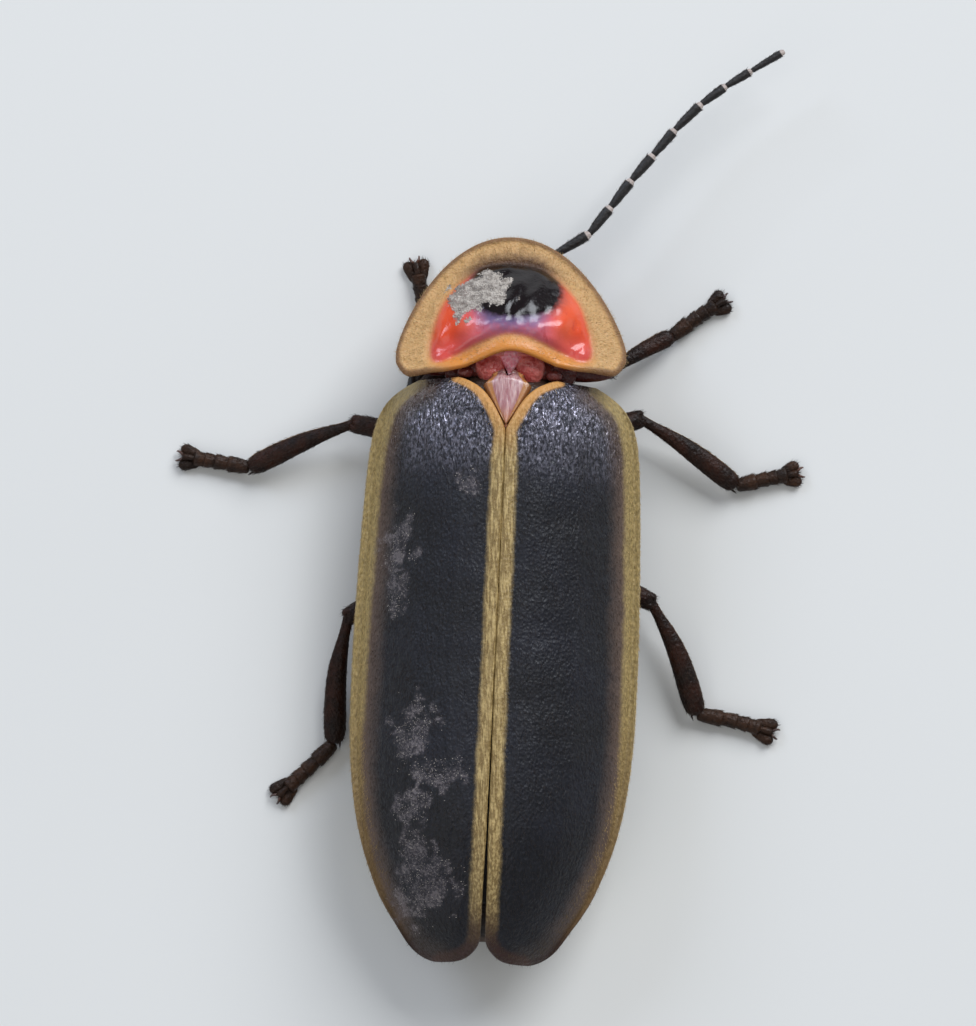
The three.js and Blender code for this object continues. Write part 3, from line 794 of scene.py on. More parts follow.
def shield_top(x, y):
    back = (y - SHIELD_FRONT) / SHIELD_LENGTH
    out = np.abs(x) / SHIELD_HALF_WIDTH
    from_disc = np.hypot(x / 1.45, (y + 1.0) / 0.95)
    dome = DOME_HEIGHT * np.maximum(0, 1 - from_disc**2) ** 1.3
    return SHIELD_HEIGHT + SHIELD_RISE * back - 0.35 * out**2 + dome


print("shield is", 2 * SHIELD_HALF_WIDTH, "mm wide")

# %% [markdown]
# The markings need to know where they are on the shield. Each mark is a simple distance:
# from the outline, from the hind edge, from the middle of the disc or of the dark spot. The
# finish turns those distances into colours.

# %% The marks of the shield
DISC_MIDDLE = np.array([0.0, -1.05])
DISC_OUTLINE = [
    (0, -1.98), (0.43, -1.92), (0.75, -1.72), (0.98, -1.49), (1.17, -1.23),
    (1.28, -0.95), (1.36, -0.64), (1.385, -0.38), (1.33, -0.245), (1.17, -0.225),
    (0.95, -0.327), (0.62, -0.49), (0.3, -0.626), (0, -0.681),
]
SPOT = {"x": -0.08, "y": -1.52, "across": 0.82, "along": 0.58, "squareness": 2.6}
SHIELD_DUST = [(0.42, -1.46, 0.42, 0.33), (0.8, -1.27, 0.26, 0.3), (0.6, -1.4, 0.3, 0.3)]


def inside_line(points, half_outline, middle):
    """Distance in millimetres from a line that is the same on both sides, above 0 inside it."""
    right = np.array(half_outline, float)
    left = right[1:-1][::-1] * (-1, 1)
    closed = np.concatenate([right, left, right[:1]])
    line = flowing(np.arange(len(closed)), closed, np.linspace(0, len(closed) - 1, 600))
    spokes, place = line - middle, points[..., :2] - middle
    angles = np.arctan2(spokes[:, 1], spokes[:, 0])
    order = np.argsort(angles)
    reach = np.linalg.norm(spokes, axis=1)
    heading = np.arctan2(place[..., 1], place[..., 0])
    edge = np.interp(heading, angles[order], reach[order], period=2 * math.pi)
    return nearest(points, line) * np.where(np.linalg.norm(place, axis=-1) < edge, 1, -1)


to_line = inside_line(DISC_MIDDLE[None], DISC_OUTLINE, DISC_MIDDLE)
print("from the disc's middle to its outline:", to_line.round(2), "mm")

# %% [markdown]
# The plate is a grid between the front and hind edges. The disc stands a little proud inside
# its own groove, with humps and hollows in its hind part, and the hind edge is a swollen lip.

# %% The plate of the shield
SHIELD_COLUMNS, SHIELD_ROWS = 171, 110
SHIELD_ROLL = 0.06
DISC_STEP, GROOVE_DEPTH, LIP_HEIGHT = 0.06, 0.035, 0.06


def shield():
    columns = np.linspace(-1, 1, SHIELD_COLUMNS)
    x = (SHIELD_HALF_WIDTH * np.sin(math.pi / 2 * columns))[None]
    share = even_ends(SHIELD_ROWS)[:, None]
    front, hind = shield_front_edge(x) + SHIELD_ROLL, shield_hind_edge(x) - SHIELD_ROLL
    y = front + (hind - front) * share
    x = np.broadcast_to(x * (1 - SHIELD_ROLL / SHIELD_HALF_WIDTH), y.shape)
    flat = np.stack([x, y, np.zeros_like(x)], -1)
    outline = np.concatenate([flat[0], flat[-1], flat[:, 0], flat[:, -1]])
    edge = nearest(flat, outline)
    band = shield_hind_edge(x) - y
    disc = inside_line(flat, DISC_OUTLINE, DISC_MIDDLE)
    squareness = SPOT["squareness"]
    spot_x = np.abs((x - SPOT["x"]) / SPOT["across"])
    spot_y = np.abs((y - SPOT["y"]) / SPOT["along"])
    spot = 1 - (spot_x**squareness + spot_y**squareness) ** (1 / squareness)
    z = shield_top(x, y)
    inside = soft_step(disc, -0.04, 0.16)
    z = z + DISC_STEP * inside - GROOVE_DEPTH * np.exp(-(((disc + 0.02) / 0.07) ** 2))
    z = z + LIP_HEIGHT * np.exp(-(((band - 0.13) / 0.1) ** 2)) * (1 - soft_step(np.abs(x), 1.2, 1.7))
    z = z + dents(x * 2.2, y * 2.2, seed=3, size=0.024) * inside
    z = z + 0.035 * np.exp(-((edge / 0.06) ** 2))
    z = z - 0.03 * np.exp(-((x / 0.05) ** 2)) * inside * soft_step(y, -1.4, -0.7)
    for side in (-1, 1):
        z = z + 0.06 * np.exp(-(((x - side * 0.62) / 0.3) ** 2) - ((y + 0.72) / 0.22) ** 2)
        z = z - 0.05 * np.exp(-(((x - side * 0.95) / 0.16) ** 2) - ((y + 0.55) / 0.16) ** 2)
    z = z + dents(x, y, seed=9, size=0.01) * (1 - inside * 0.4)
    thickness = 0.12 + 0.16 * inside
    dust = scattered_patches(flat, SHIELD_DUST, seed=2)
    lie = unit(np.stack([x * 0.6, y + 0.4, -0.2 + 0 * x], -1))
    unwrap = np.stack([0.5 + x * 0.23, 0.03 + (y - SHIELD_FRONT) * 0.38], -1)
    hair = (1 - soft_step(disc, -0.1, 0.0)) * soft_step(band, 0.02, 0.2)
    shape = plate(
        np.stack([x, y, z], -1), thickness, edge=edge, band=band, disc=disc, spot=spot,
        unwrap=unwrap, lie=lie, hair=hair, mid=np.abs(x), dust=dust,
    )
    shape.marks["hair"] = shape.marks["hair"] * (shape.marks["under"] < 0.6)
    shape.marks["dust"] = shape.marks["dust"] * (shape.marks["under"] < 0.5)
    shape.marks["tint"] = np.ones(len(shape.corners))
    shape.corners[:, 0] += SHIELD_OFFSET
    return shape


# %% [markdown]
# The disc is coral red at the sides, rosy in the middle and black in front, under a clear
# glossy skin. The margins are tan and grainy, and look a little waxy because light sinks into
# the thin plate, so the finish has some subsurface scattering.

# %% The finish of the shield


def shield_wiring(nodes):
    place = nodes.place()
    edge, band = nodes.mark("edge"), nodes.mark("band")
    disc, spot, mid = nodes.mark("disc"), nodes.mark("spot"), nodes.mark("mid")
    cloud = nodes.noise(place, 1.6, 4.0)
    fuzz = nodes.noise(place, 9.0, 4.0, 0.65)
    grain = nodes.noise(place, 26.0, 3.0, 0.7)
    granules = nodes.cells(place, 22.0)
    waver = (cloud - 0.5) * 0.1 + (fuzz - 0.5) * 0.09
    on_disc = nodes.smooth(disc + waver * 0.5, -0.05, 0.06)
    black = nodes.smooth(spot + waver * 1.8, -0.04, 0.14)
    middle = 1 - nodes.smooth(mid + waver * 2, 0.35, 1.0)
    # Below the black spot a blue-violet haze is mixed in: partly the disc's own tint, partly a painted
    # reflection of the bluish sky.
    haze_and_painted_reflection = nodes.smooth(spot + waver * 2.6, -0.58, 0.02) * (1 - nodes.smooth(mid + waver * 2, 0.35, 0.75))
    coral = nodes.mix(nodes.smooth(cloud, 0.35, 0.65), colour("d8431a"), colour("dc5630"))
    rosy = nodes.mix(nodes.smooth(fuzz, 0.3, 0.7), colour("cc6676"), colour("bd7c92"))
    red = nodes.mix(middle * 0.85, coral, rosy)
    red = nodes.mix((1 - nodes.smooth(band, 0.3, 0.75)) * 0.5, red, colour("c4505a"))
    streaks = nodes.noise(nodes.vector("MULTIPLY", place, (7.0, 3.0, 1.0)), 1.0, 3.0, 0.6)
    veins = nodes.smooth(streaks, 0.55, 0.75)
    red = nodes.mix(veins * 0.5, red, colour("a3252a"))
    red = nodes.mix(haze_and_painted_reflection * 0.9, red, colour("585c86"))
    red = nodes.mix(nodes.smooth(spot + waver * 2, -0.22, 0.08) * 0.5, red, colour("4a2530"))
    disc_colour = nodes.mix(black, red, colour("0d0305"))
    tan = nodes.mix(nodes.smooth(fuzz, 0.3, 0.7), colour("b78d57"), colour("c69c68"))
    tan = nodes.mix(nodes.smooth(grain, 0.5, 0.75) * 0.4, tan, colour("d6bc90"))
    off_disc = disc * -1.0
    front_shade = (1 - nodes.smooth(off_disc + waver * 2, 0.02, 0.34)) * (1 - nodes.smooth(mid, 0.5, 1.1))
    front_shade = front_shade * nodes.smooth(band, 0.9, 1.3)
    tan = nodes.mix(front_shade * 0.92, tan, colour("38190b"))
    blush = (1 - nodes.smooth(off_disc, 0.0, 0.12)) * (1 - front_shade)
    tan = nodes.mix(blush * 0.4, tan, colour("c4703f"))
    lip = (1 - nodes.smooth(band + waver, 0.16, 0.4)) * (1 - nodes.smooth(mid + waver, 0.9, 1.6))
    tan = nodes.mix(lip * 0.85, tan, colour("d08234"))
    rolled = 1 - nodes.smooth(edge + waver * 0.4, 0.0, 0.075)
    tan = nodes.mix(rolled * (1 - lip) * 0.8, tan, colour("5f3d22"))
    skin = nodes.mix(on_disc, tan, disc_colour)
    skin = nodes.mix(nodes.mark("dust") * 0.85, skin, colour("7d7774"))
    skin = nodes.mix(nodes.mark("under") * 0.5, skin, colour("b07a52"))
    clean = 1 - nodes.mark("dust")
    smooth_skin = on_disc + lip * (1 - on_disc) * 0.8
    roughness = 0.5 - smooth_skin * clean * (0.3 + black * 0.1) + (fuzz - 0.5) * 0.1
    height = (grain * 0.014 + granules * 0.01) * (1 - smooth_skin * 0.9) + fuzz * 0.008
    coat = on_disc * clean * (0.4 - black * 0.25)
    return {"Base Color": skin, "Roughness": roughness, "Coat Weight": coat, "Normal": nodes.relief(height)}


shield_finish = finish(
    "shield_cuticle",
    shield_wiring,
    Specular_IOR_Level=0.34,
    Coat_Roughness=0.12,
    Subsurface_Weight=0.12,
    Subsurface_Scale=0.00015,
    Subsurface_Radius=(1.0, 0.5, 0.25),
)
shield_plate = piece("pronotum_shell", [shield()], shield_finish, "pronotum", ["pronotum"])

# %% [markdown]
# ## Geometry Nodes
# Hairs, facets and the joints of the feelers repeat one small shape over a surface or along a
# path. Geometry Nodes are the tool for that. A tree gets named inputs for its sizes, runs on
# a carrier object, and its result is kept as a plain mesh.

# %% Trees that repeat a shape


def repeating_tree(name, sizes):
    """A Geometry Nodes tree, its nodes, and the wires of its named inputs."""
    tree = bpy.data.node_groups.new(name, "GeometryNodeTree")
    tree.interface.new_socket("Geometry", in_out="OUTPUT", socket_type="NodeSocketGeometry")
    for label, kind in {"Geometry": "Geometry", **sizes}.items():
        tree.interface.new_socket(label, in_out="INPUT", socket_type="NodeSocket" + kind)
    nodes = Nodes(tree)
    entry = tree.nodes.new("NodeGroupInput")
    return tree, nodes, {label: Wire(nodes, entry.outputs[label]) for label in ("Geometry", *sizes)}


def end_tree(nodes, geometry, material):
    """Realizes the instances, sets their material and ends the tree."""
    plain = nodes.add("GeometryNodeRealizeInstances", None, {"Geometry": geometry})
    painted = nodes.add("GeometryNodeSetMaterial", None, {"Geometry": plain, "Material": material})
    leave = nodes.tree.nodes.new("NodeGroupOutput")
    nodes.tree.links.new(painted.socket, leave.inputs["Geometry"])


def grown(name, tree, carrier_mesh, inputs):
    """The plain mesh that a tree makes of a carrier."""
    carrier = bpy.data.objects.new("carrier", carrier_mesh)
    bpy.context.scene.collection.objects.link(carrier)
    modifier = carrier.modifiers.new("grow", "NODES")
    modifier.node_group = tree
    for item in tree.interface.items_tree:
        if item.in_out == "INPUT" and item.name in inputs:
            modifier[item.identifier] = inputs[item.name]
    graph = bpy.context.evaluated_depsgraph_get()
    mesh = bpy.data.meshes.new_from_object(
        carrier.evaluated_get(graph), preserve_all_data_layers=True, depsgraph=graph
    )
    carrier.modifiers.remove(modifier)
    bpy.data.objects.remove(carrier)
    mesh.name = name
    return mesh


# %% [markdown]
# ## Hairs
# A firefly is covered with short hairs that lie back along the body. Particle hair would be
# quick, but it is lost when the model is exported. So each hair is a thin bent cone of seven
# faces, set on random spots of the skin and tipped from the skin's normal towards the lie
# kept in the mesh. It takes the skin's marks with it, so it is golden where they say so.

# %% The tree of the hairs
PATCH = 0.003
STRAY = 0.35
BEND = -0.3
SHORTEST, LONGEST = 0.65, 1.25


def named(nodes, name, data_type="FLOAT_VECTOR"):
    return nodes.add("GeometryNodeInputNamedAttribute", {"data_type": data_type}, {"Name": name})


hair_sizes = {
    "Density": "Float", "Length": "Float", "Thickness": "Float", "Lift": "Float",
    "Seed": "Int", "Finish": "Material",
}
hair_tree, nodes, given = repeating_tree("hairs over a skin", hair_sizes)
density = named(nodes, "hair", "FLOAT") * given["Density"]
scattered = nodes.add(
    "GeometryNodeDistributePointsOnFaces",
    {"distribute_method": "RANDOM"},
    {"Mesh": given["Geometry"], "Density": density, "Seed": given["Seed"]},
)
outward = Wire(nodes, scattered.socket.node.outputs["Normal"])
stray = nodes.add(
    "FunctionNodeRandomValue",
    {"data_type": "FLOAT_VECTOR"},
    {0: (-STRAY, -STRAY, -STRAY), 1: (STRAY, STRAY, STRAY), "Seed": given["Seed"]},
)
lie = nodes.vector("ADD", named(nodes, "lie"), stray)
tipped = nodes.vector("ADD", nodes.vector("SCALE", outward, given["Lift"]), lie)
turn = nodes.add("FunctionNodeAlignRotationToVector", {"axis": "Z"}, {"Vector": tipped})
turn = nodes.add(
    "FunctionNodeAlignRotationToVector",
    {"axis": "X", "pivot_axis": "Z"},
    {"Rotation": turn, "Vector": outward},
)
print("inputs of the hair tree:", *given)

# %% [markdown]
# One hair is a cone one unit long and thick, with a bent tip. It is scaled afterwards, so the
# bend scales too. Each hair keeps a tiny patch of the unwrapped square round its root, which
# lets an export paint it with the colour that it has there.

# %% One hair, set on every spot
cone = nodes.add(
    "GeometryNodeMeshCone",
    {"fill_type": "NGON"},
    {"Vertices": 3, "Side Segments": 2, "Radius Top": 0.0, "Radius Bottom": 1.0, "Depth": 1.0},
)
patch = nodes.vector("SCALE", Wire(nodes, cone.socket.node.outputs["UV Map"]), PATCH)
hair = nodes.add(
    "GeometryNodeStoreNamedAttribute",
    {"data_type": "FLOAT2", "domain": "CORNER"},
    {"Geometry": cone, "Name": "patch", "Value": patch},
)
spot_on_hair = nodes.add("ShaderNodeSeparateXYZ", None, {0: nodes.add("GeometryNodeInputPosition")})
height = Wire(nodes, spot_on_hair.socket.node.outputs["Z"])
size = nodes.add(
    "ShaderNodeCombineXYZ", None, {0: given["Thickness"], 1: given["Thickness"], 2: given["Length"]}
)
slim = nodes.vector("MULTIPLY", nodes.add("GeometryNodeInputPosition"), size)
bend = nodes.add("ShaderNodeCombineXYZ", None, {0: height * height * given["Length"] * BEND})
hair = nodes.add("GeometryNodeSetPosition", None, {"Geometry": hair, "Position": slim, "Offset": bend})
stretch = nodes.add(
    "FunctionNodeRandomValue",
    {"data_type": "FLOAT"},
    {2: SHORTEST, 3: LONGEST, "Seed": given["Seed"]},
    output=1,
)
hairs = nodes.add(
    "GeometryNodeInstanceOnPoints",
    None,
    {"Points": scattered, "Instance": hair, "Rotation": turn, "Scale": stretch},
)
hairs = nodes.add("GeometryNodeRealizeInstances", None, {"Geometry": hairs})
at_root = nodes.vector("ADD", named(nodes, "unwrap"), named(nodes, "patch"))
hairs = nodes.add(
    "GeometryNodeStoreNamedAttribute",
    {"data_type": "FLOAT2", "domain": "CORNER"},
    {"Geometry": hairs, "Name": "OFBake", "Value": at_root},
)
end_tree(nodes, hairs, given["Finish"])
print("nodes in the hair tree:", len(hair_tree.nodes))

# %% [markdown]
# The hairs on the pale rims are golden, and those on the dark skin are grey-brown and catch
# a little light.

# %% The coats


def hair_wiring(nodes):
    shade = nodes.noise(nodes.place(), 6.0)
    dark = nodes.mix(shade, colour("211812"), colour("40322a"))
    golden = nodes.mix(shade, colour("b29059"), colour("cfb583"))
    return {"Base Color": nodes.mix(nodes.mark("tint"), dark, golden)}


hair_finish = finish("hairs", hair_wiring, Roughness=0.5, Specular_IOR_Level=0.25)


def coat(name, skin, slot, density, length, seed, thickness=0.009, lift=0.45):
    """A coat of hairs on a skin, with a density per square millimetre and sizes in millimetres."""
    inputs = {
        "Density": density / MM**2, "Length": length * MM, "Thickness": thickness / 2 * MM,
        "Lift": lift, "Seed": seed, "Finish": hair_finish,
    }
    mesh = grown(name, hair_tree, skin.data, inputs)
    mesh.shade_smooth()
    print(name, len(mesh.polygons), "faces")
    return on_frame(name, mesh, slot)


for side_name in SIDES:
    coat(
        f"wing_case_{side_name}_hairs", cases[side_name], "wing_case", 340, 0.065,
        seed=3, thickness=0.006, lift=0.3,
    )
coat("pronotum_hairs", shield_plate, "pronotum", 520, 0.055, seed=5, thickness=0.006)

# %% [markdown]
# ## Dust
# The insect in the photograph has walked through something dusty: a crust lies on its shield,
# and specks on its left case. Each crumb is a rough little ball, squashed on to the skin. The
# skin's own mark tells the tree where crumbs lie.

# %% The tree of the crumbs
crumb_sizes = {
    "Density": "Float", "Smallest": "Float", "Largest": "Float", "Seed": "Int", "Finish": "Material",
}
crumb_tree, nodes, given = repeating_tree("crumbs on a skin", crumb_sizes)
density = named(nodes, "dust", "FLOAT") * given["Density"]
scattered = nodes.add(
    "GeometryNodeDistributePointsOnFaces",
    {"distribute_method": "RANDOM"},
    {"Mesh": given["Geometry"], "Density": density, "Seed": given["Seed"]},
)
outward = Wire(nodes, scattered.socket.node.outputs["Normal"])
turn = nodes.add("FunctionNodeAlignRotationToVector", {"axis": "Z"}, {"Vector": outward})
crumb = nodes.add("GeometryNodeMeshIcoSphere", None, {"Radius": 1.0, "Subdivisions": 1})
smallest = nodes.vector("SCALE", (1.0, 0.6, 0.35), given["Smallest"])
largest = nodes.vector("SCALE", (1.0, 1.0, 0.6), given["Largest"])
size = nodes.add(
    "FunctionNodeRandomValue",
    {"data_type": "FLOAT_VECTOR"},
    {0: smallest, 1: largest, "Seed": given["Seed"]},
)
crumbs = nodes.add(
    "GeometryNodeInstanceOnPoints",
    None,
    {"Points": scattered, "Instance": crumb, "Rotation": turn, "Scale": size},
)
end_tree(nodes, crumbs, given["Finish"])
print("nodes in the crumb tree:", len(crumb_tree.nodes))


def dust_wiring(nodes):
    place = nodes.place()
    shade, grain = nodes.noise(place, 9.0), nodes.noise(place, 40.0)
    grey = nodes.mix(nodes.smooth(shade, 0.35, 0.65), colour("7d746c"), colour("b5aca2"))
    grey = nodes.mix(nodes.smooth(grain, 0.55, 0.7) * 0.5, grey, colour("d2cabf"))
    return {"Base Color": grey, "Roughness": 0.8 + grain * 0.1, "Normal": nodes.relief(grain * 0.006)}


dust_finish = finish("dust", dust_wiring)
for name, skin, slot, per_mm2, smallest, largest in (
    ("pronotum_dust", shield_plate, "pronotum", 3400, 0.008, 0.025),
    ("wing_case_left_dust", cases["left"], "wing_case", 260, 0.003, 0.011),
):
    inputs = {
        "Density": per_mm2 / MM**2, "Smallest": smallest * MM, "Largest": largest * MM,
        "Seed": 8, "Finish": dust_finish,
    }
    mesh = grown(name, crumb_tree, skin.data, inputs)
    print(name, len(mesh.polygons), "faces")
    on_frame(name, mesh, slot)

# %% [markdown]
# ## Between shield and cases
# Behind the shield lies the soft middle of the back: two salmon-red lobes, a small rosy
# triangle and two brown hinge knobs, then the scutellum, a glossy rosy triangle that the
# wing cases close round. Small swollen forms like these are easiest as squashed balls.

# %% Balls
BALL_SIDES, BALL_RINGS = 40, 26
POLE = 0.03


def ball(centre, size, tip=0.0, **marks):
    """A squashed ball. Tip narrows it towards +Y."""
    polar = np.linspace(POLE, math.pi - POLE, BALL_RINGS)[:, None]
    turn = np.linspace(0, 2 * math.pi, BALL_SIDES, endpoint=False)[None]
    y = -np.cos(polar) + 0 * turn
    girth = np.sin(polar) * (1 - tip * soft_step(y, -0.6, 1.0))
    offset = np.stack([girth * np.cos(turn), y, girth * np.sin(turn)], -1)
    filled = {name: np.full_like(y, value) for name, value in marks.items()}
    return tube(np.asarray(centre) + offset * size, **filled)


def red_wiring(nodes):
    place = nodes.place()
    cloud, grain = nodes.noise(place, 3.0, 4.0), nodes.noise(place, 14.0, 4.0)
    red = nodes.mix(nodes.smooth(cloud, 0.35, 0.65), colour("ae3d37"), colour("dd7a70"))
    red = nodes.mix(nodes.smooth(grain, 0.5, 0.8) * 0.5, red, colour("e8aaa0"))
    pink = nodes.mix(nodes.smooth(grain, 0.4, 0.7), colour("e47d8a"), colour("f4bcc2"))
    red = nodes.mix(nodes.mark("rosy"), red, pink)
    # The mark dark browns the hinge knobs, and also paints shade: on the wide middle ball, on the long side
    # folds and on the front trunk's hind end.
    red = nodes.mix(nodes.mark("dark"), red, colour("4f1a13"))
    height = cloud * 0.09 + grain * 0.025 + nodes.cells(place, 12.0) * 0.01
    return {"Base Color": red, "Roughness": 0.3 - (grain - 0.5) * 0.2, "Normal": nodes.relief(height)}


red_finish = finish(
    "red_cuticle", red_wiring, Specular_IOR_Level=0.5, Subsurface_Weight=0.1, Subsurface_Scale=0.00015
)
SADDLE_Z = 2.16
# Folds on each side: how far out, a sideways shift, along, up, size, how dark and how rosy.
SADDLE_FOLDS = [
    (0.33, -0.03, -0.14, -0.02, (0.27, 0.3, 0.18), 0.0, 0.0),
    (0.42, -0.03, 0.03, -0.06, (0.12, 0.13, 0.13), 0.3, 0.0),
    (0.17, -0.03, 0.02, 0.0, (0.12, 0.12, 0.14), 0.1, 0.3),
    (0.76, -0.03, -0.02, 0.0, (0.14, 0.1, 0.12), 0.88, 0.0),
    (0.58, 0.0, -0.1, -0.12, (0.2, 0.15, 0.12), 0.85, 0.0),
    # Painted shadow: this long, fully dark fold is a dark sheet standing for the shade under the shield's
    # hind corners.
    (1.2, 0.0, -0.14, -0.4, (0.62, 0.16, 0.12), 1.0, 0.0),
]
saddle = [
    # Painted shade: this wide low ball is dark red-brown for the shade in the hollow under the shield's hind
    # edge.
    ball((0.0, -0.2, 1.9), (0.8, 0.32, 0.24), dark=0.75, rosy=0.0),
    ball((-0.03, -0.28, SADDLE_Z + 0.08), (0.24, 0.36, 0.14), tip=0.85, dark=0.0, rosy=1.0),
]
for side in SIDES.values():
    for out, shift, y, up, size, dark, rosy in SADDLE_FOLDS:
        saddle.append(ball((side * out + shift, y, SADDLE_Z + up), size, dark=dark, rosy=rosy))
piece("mesonotum_skin", saddle, red_finish, "red_cuticle", ["mesonotum"], turn=WAIST_TURN)

# %% [markdown]
# The scutellum is a three-sided plate, widest a fifth of the way back and gently arched, with
# a raised rim and fine streaks along it.

# %% The scutellum
SCUTELLUM = {
    "front": 0.03, "back": 0.88, "half_width": 0.37, "height": 2.52, "widest": 0.2, "thickness": 0.16,
}


def scutellum():
    share, across = even_ends(60)[:, None], np.linspace(-1, 1, 41)[None]
    widest = SCUTELLUM["widest"]
    shoulders = 0.68 + 0.32 * soft_step(share, 0, widest)
    narrowing = 1 - 0.97 * np.clip((share - widest) / (1 - widest), 0, 1) ** 1.15
    half = SCUTELLUM["half_width"] * np.where(share < widest, shoulders, narrowing)
    x = half * across
    y = SCUTELLUM["front"] + (SCUTELLUM["back"] - SCUTELLUM["front"]) * share + 0 * across
    y = y - 0.07 * (1 - across**2) * (1 - share)
    y = y + 0.12 * np.exp(-((across / 0.18) ** 2)) * (1 - soft_step(share, 0, 0.1))
    z = SCUTELLUM["height"] + 0.22 * share + 0.1 * (1 - across**2) * (1 - 0.5 * share)
    z = z - 0.14 * (1 - soft_step(share, 0.0, 0.16)) + 0.02 * np.exp(-(((1 - np.abs(across)) / 0.12) ** 2))
    middle, along = np.abs(across) + 0 * share, share + 0 * across
    return plate(np.stack([x, y, z], -1), SCUTELLUM["thickness"], mid=middle, along=along)


def scutellum_wiring(nodes):
    place = nodes.place()
    streaks = nodes.noise(nodes.vector("MULTIPLY", place, (26.0, 3.5, 10.0)), 1.0, 3.0)
    rosy = nodes.mix(nodes.smooth(streaks, 0.35, 0.7), colour("9a6467"), colour("c4a09c"))
    rosy = nodes.mix(nodes.smooth(nodes.mark("along"), 0.6, 1.0) * 0.6, rosy, colour("c78d5c"))
    rosy = nodes.mix((1 - nodes.smooth(nodes.mark("along"), 0.0, 0.09)) * 0.8, rosy, colour("5a2a1e"))
    border = nodes.smooth(nodes.mark("mid") + (streaks - 0.5) * 0.1, 0.68, 0.78)
    rosy = nodes.mix(border, rosy, colour("a8703a"))
    rosy = nodes.mix(nodes.smooth(nodes.mark("mid"), 0.9, 1.0) * 0.7, rosy, colour("6f4020"))
    roughness = 0.3 + (streaks - 0.5) * 0.2
    return {"Base Color": rosy, "Roughness": roughness, "Normal": nodes.relief(streaks * 0.015)}


scutellum_finish = finish(
    "scutellum_cuticle", scutellum_wiring, Coat_Weight=0.4, Coat_Roughness=0.15, Subsurface_Weight=0.1,
    Subsurface_Scale=0.00012,
)
piece("scutellum_shell", [scutellum()], scutellum_finish, "red_cuticle", ["scutellum"], turn=WAIST_TURN)

# %% [markdown]
# ## Trunk
# Under the shield and cases the trunk is in two boxes: a rosy front one, which carries the
# front legs, and a brown one with the middle and hind legs. Both are tubes along the body,
# kept below the plates that cover them. Grooves between their plates are pressed in as lines.

# %% Trunk tubes
SQUARENESS = 2.3


def squared(turn):
    """How far out a somewhat squared ring reaches, by the turn round it."""
    c, s = np.cos(turn), np.sin(turn)
    return 1 / (np.abs(c) ** SQUARENESS + np.abs(s) ** SQUARENESS) ** (1 / SQUARENESS)


def body_tube(start, end, half_width, bottom, top, ceiling, press=None, sides=96, steps=90):
    """A tube along Y, kept under a ceiling, with grooves pressed in."""
    share = even_ends(steps)[:, None]
    turn = np.linspace(0, 2 * math.pi, sides, endpoint=False)[None]
    y = start + (end - start) * share + 0 * turn
    reach = squared(turn)
    x = np.cos(turn) * reach * half_width(share)
    low, high = bottom(share), top(share)
    middle = (low + high) / 2
    z = np.minimum(middle + np.sin(turn) * reach * (high - low) / 2, ceiling(x, y))
    groove = np.zeros_like(x)
    if press is not None:
        groove = press(x, y)
        x, z = x * (1 - 0.04 * groove), middle + (z - middle) * (1 - 0.05 * groove)
    rings = np.stack([x, y, z], -1)
    unwrap = np.stack([turn / (2 * math.pi) + 0 * share, share + 0 * turn], -1)
    lie = np.zeros_like(rings) + (0.0, 1.0, 0.0)
    belly = soft_step(-np.sin(turn) + 0 * share, -0.2, 0.2)
    along = share + 0 * turn
    return tube(rings, groove=groove, unwrap=unwrap, lie=lie, hair=belly, belly=belly, along=along)


def line(distance, width=0.035):
    """A groove's depth, from 0 to 1, by the distance from its middle."""
    return np.exp(-((distance / width) ** 2))


print("a squared ring reaches", squared(math.pi / 4).round(3), "times as far at its corners")

# %% The front trunk
CHEST_HEIGHT = 0.9


def front_press(x, y):
    return np.maximum(line(x), line(y + 0.35 + 0.25 * np.abs(x)) * (np.abs(x) > 0.2))


front_trunk = body_tube(
    -1.22, 0.34,
    half_width=lambda share: 1.15 * rounded(share),
    bottom=lambda share: CHEST_HEIGHT + 0.15 * (2 * share - 1) ** 2,
    top=lambda share: 2.3 + 0.3 * share,
    ceiling=lambda x, y: np.where(y < -0.3, shield_top(x, y) - 0.2, 1.95),
    press=front_press,
)
front_trunk.corners[:, 0] += SHIELD_OFFSET
# Its hind end is painted dark brown where it slips under the saddle: painted shade.
front_trunk.marks["dark"] = 0.95 * soft_step(front_trunk.corners[:, 1], -0.3, -0.06)
piece("prothorax_skin", [front_trunk], red_finish, "red_cuticle", ["prothorax"])

# %% [markdown]
# The brown hind trunk has a long middle seam and slanting seams in front of each pair of
# hips. Its finish is a bare brown skin with fine pits, a little darker in the grooves.

# %% The hind trunk
ROOM_UNDER_CASES = 0.25


def under_cases(x, y):
    """The height up to which the body may come under the wing cases."""
    share = np.clip(y / CASE_LENGTH, 0, 1)
    return case_top(np.minimum(np.abs(x) / case_outer(share), 1), share) - ROOM_UNDER_CASES


def hind_press(x, y):
    out = np.abs(x)
    seams = np.maximum(line(x, 0.03), line(y - 0.75 - 0.35 * out))
    seams = np.maximum(seams, line(y - 1.62 + 0.12 * out))
    return np.maximum(seams, np.maximum(line(y - 2.62 - 0.1 * out), line(out - 1.12) * (y > 1.6)))


def belly_wiring(nodes):
    place = nodes.place()
    cloud, grain = nodes.noise(place, 1.5, 4.0), nodes.noise(place, 12.0, 4.0)
    brown = nodes.mix(nodes.smooth(cloud, 0.35, 0.65), colour("241a14"), colour("3d2b20"))
    brown = nodes.mix(nodes.smooth(grain, 0.5, 0.8) * 0.35, brown, colour("5a4434"))
    brown = nodes.mix(nodes.mark("groove") * 0.7, brown, colour("120c09"))
    brown = nodes.mix(nodes.mark("pale") * 0.8, brown, colour("8d6f4f"))
    height = grain * 0.016 - nodes.cells(place, 16.0) * 0.012
    return {"Base Color": brown, "Roughness": 0.42 + (grain - 0.5) * 0.2, "Normal": nodes.relief(height)}


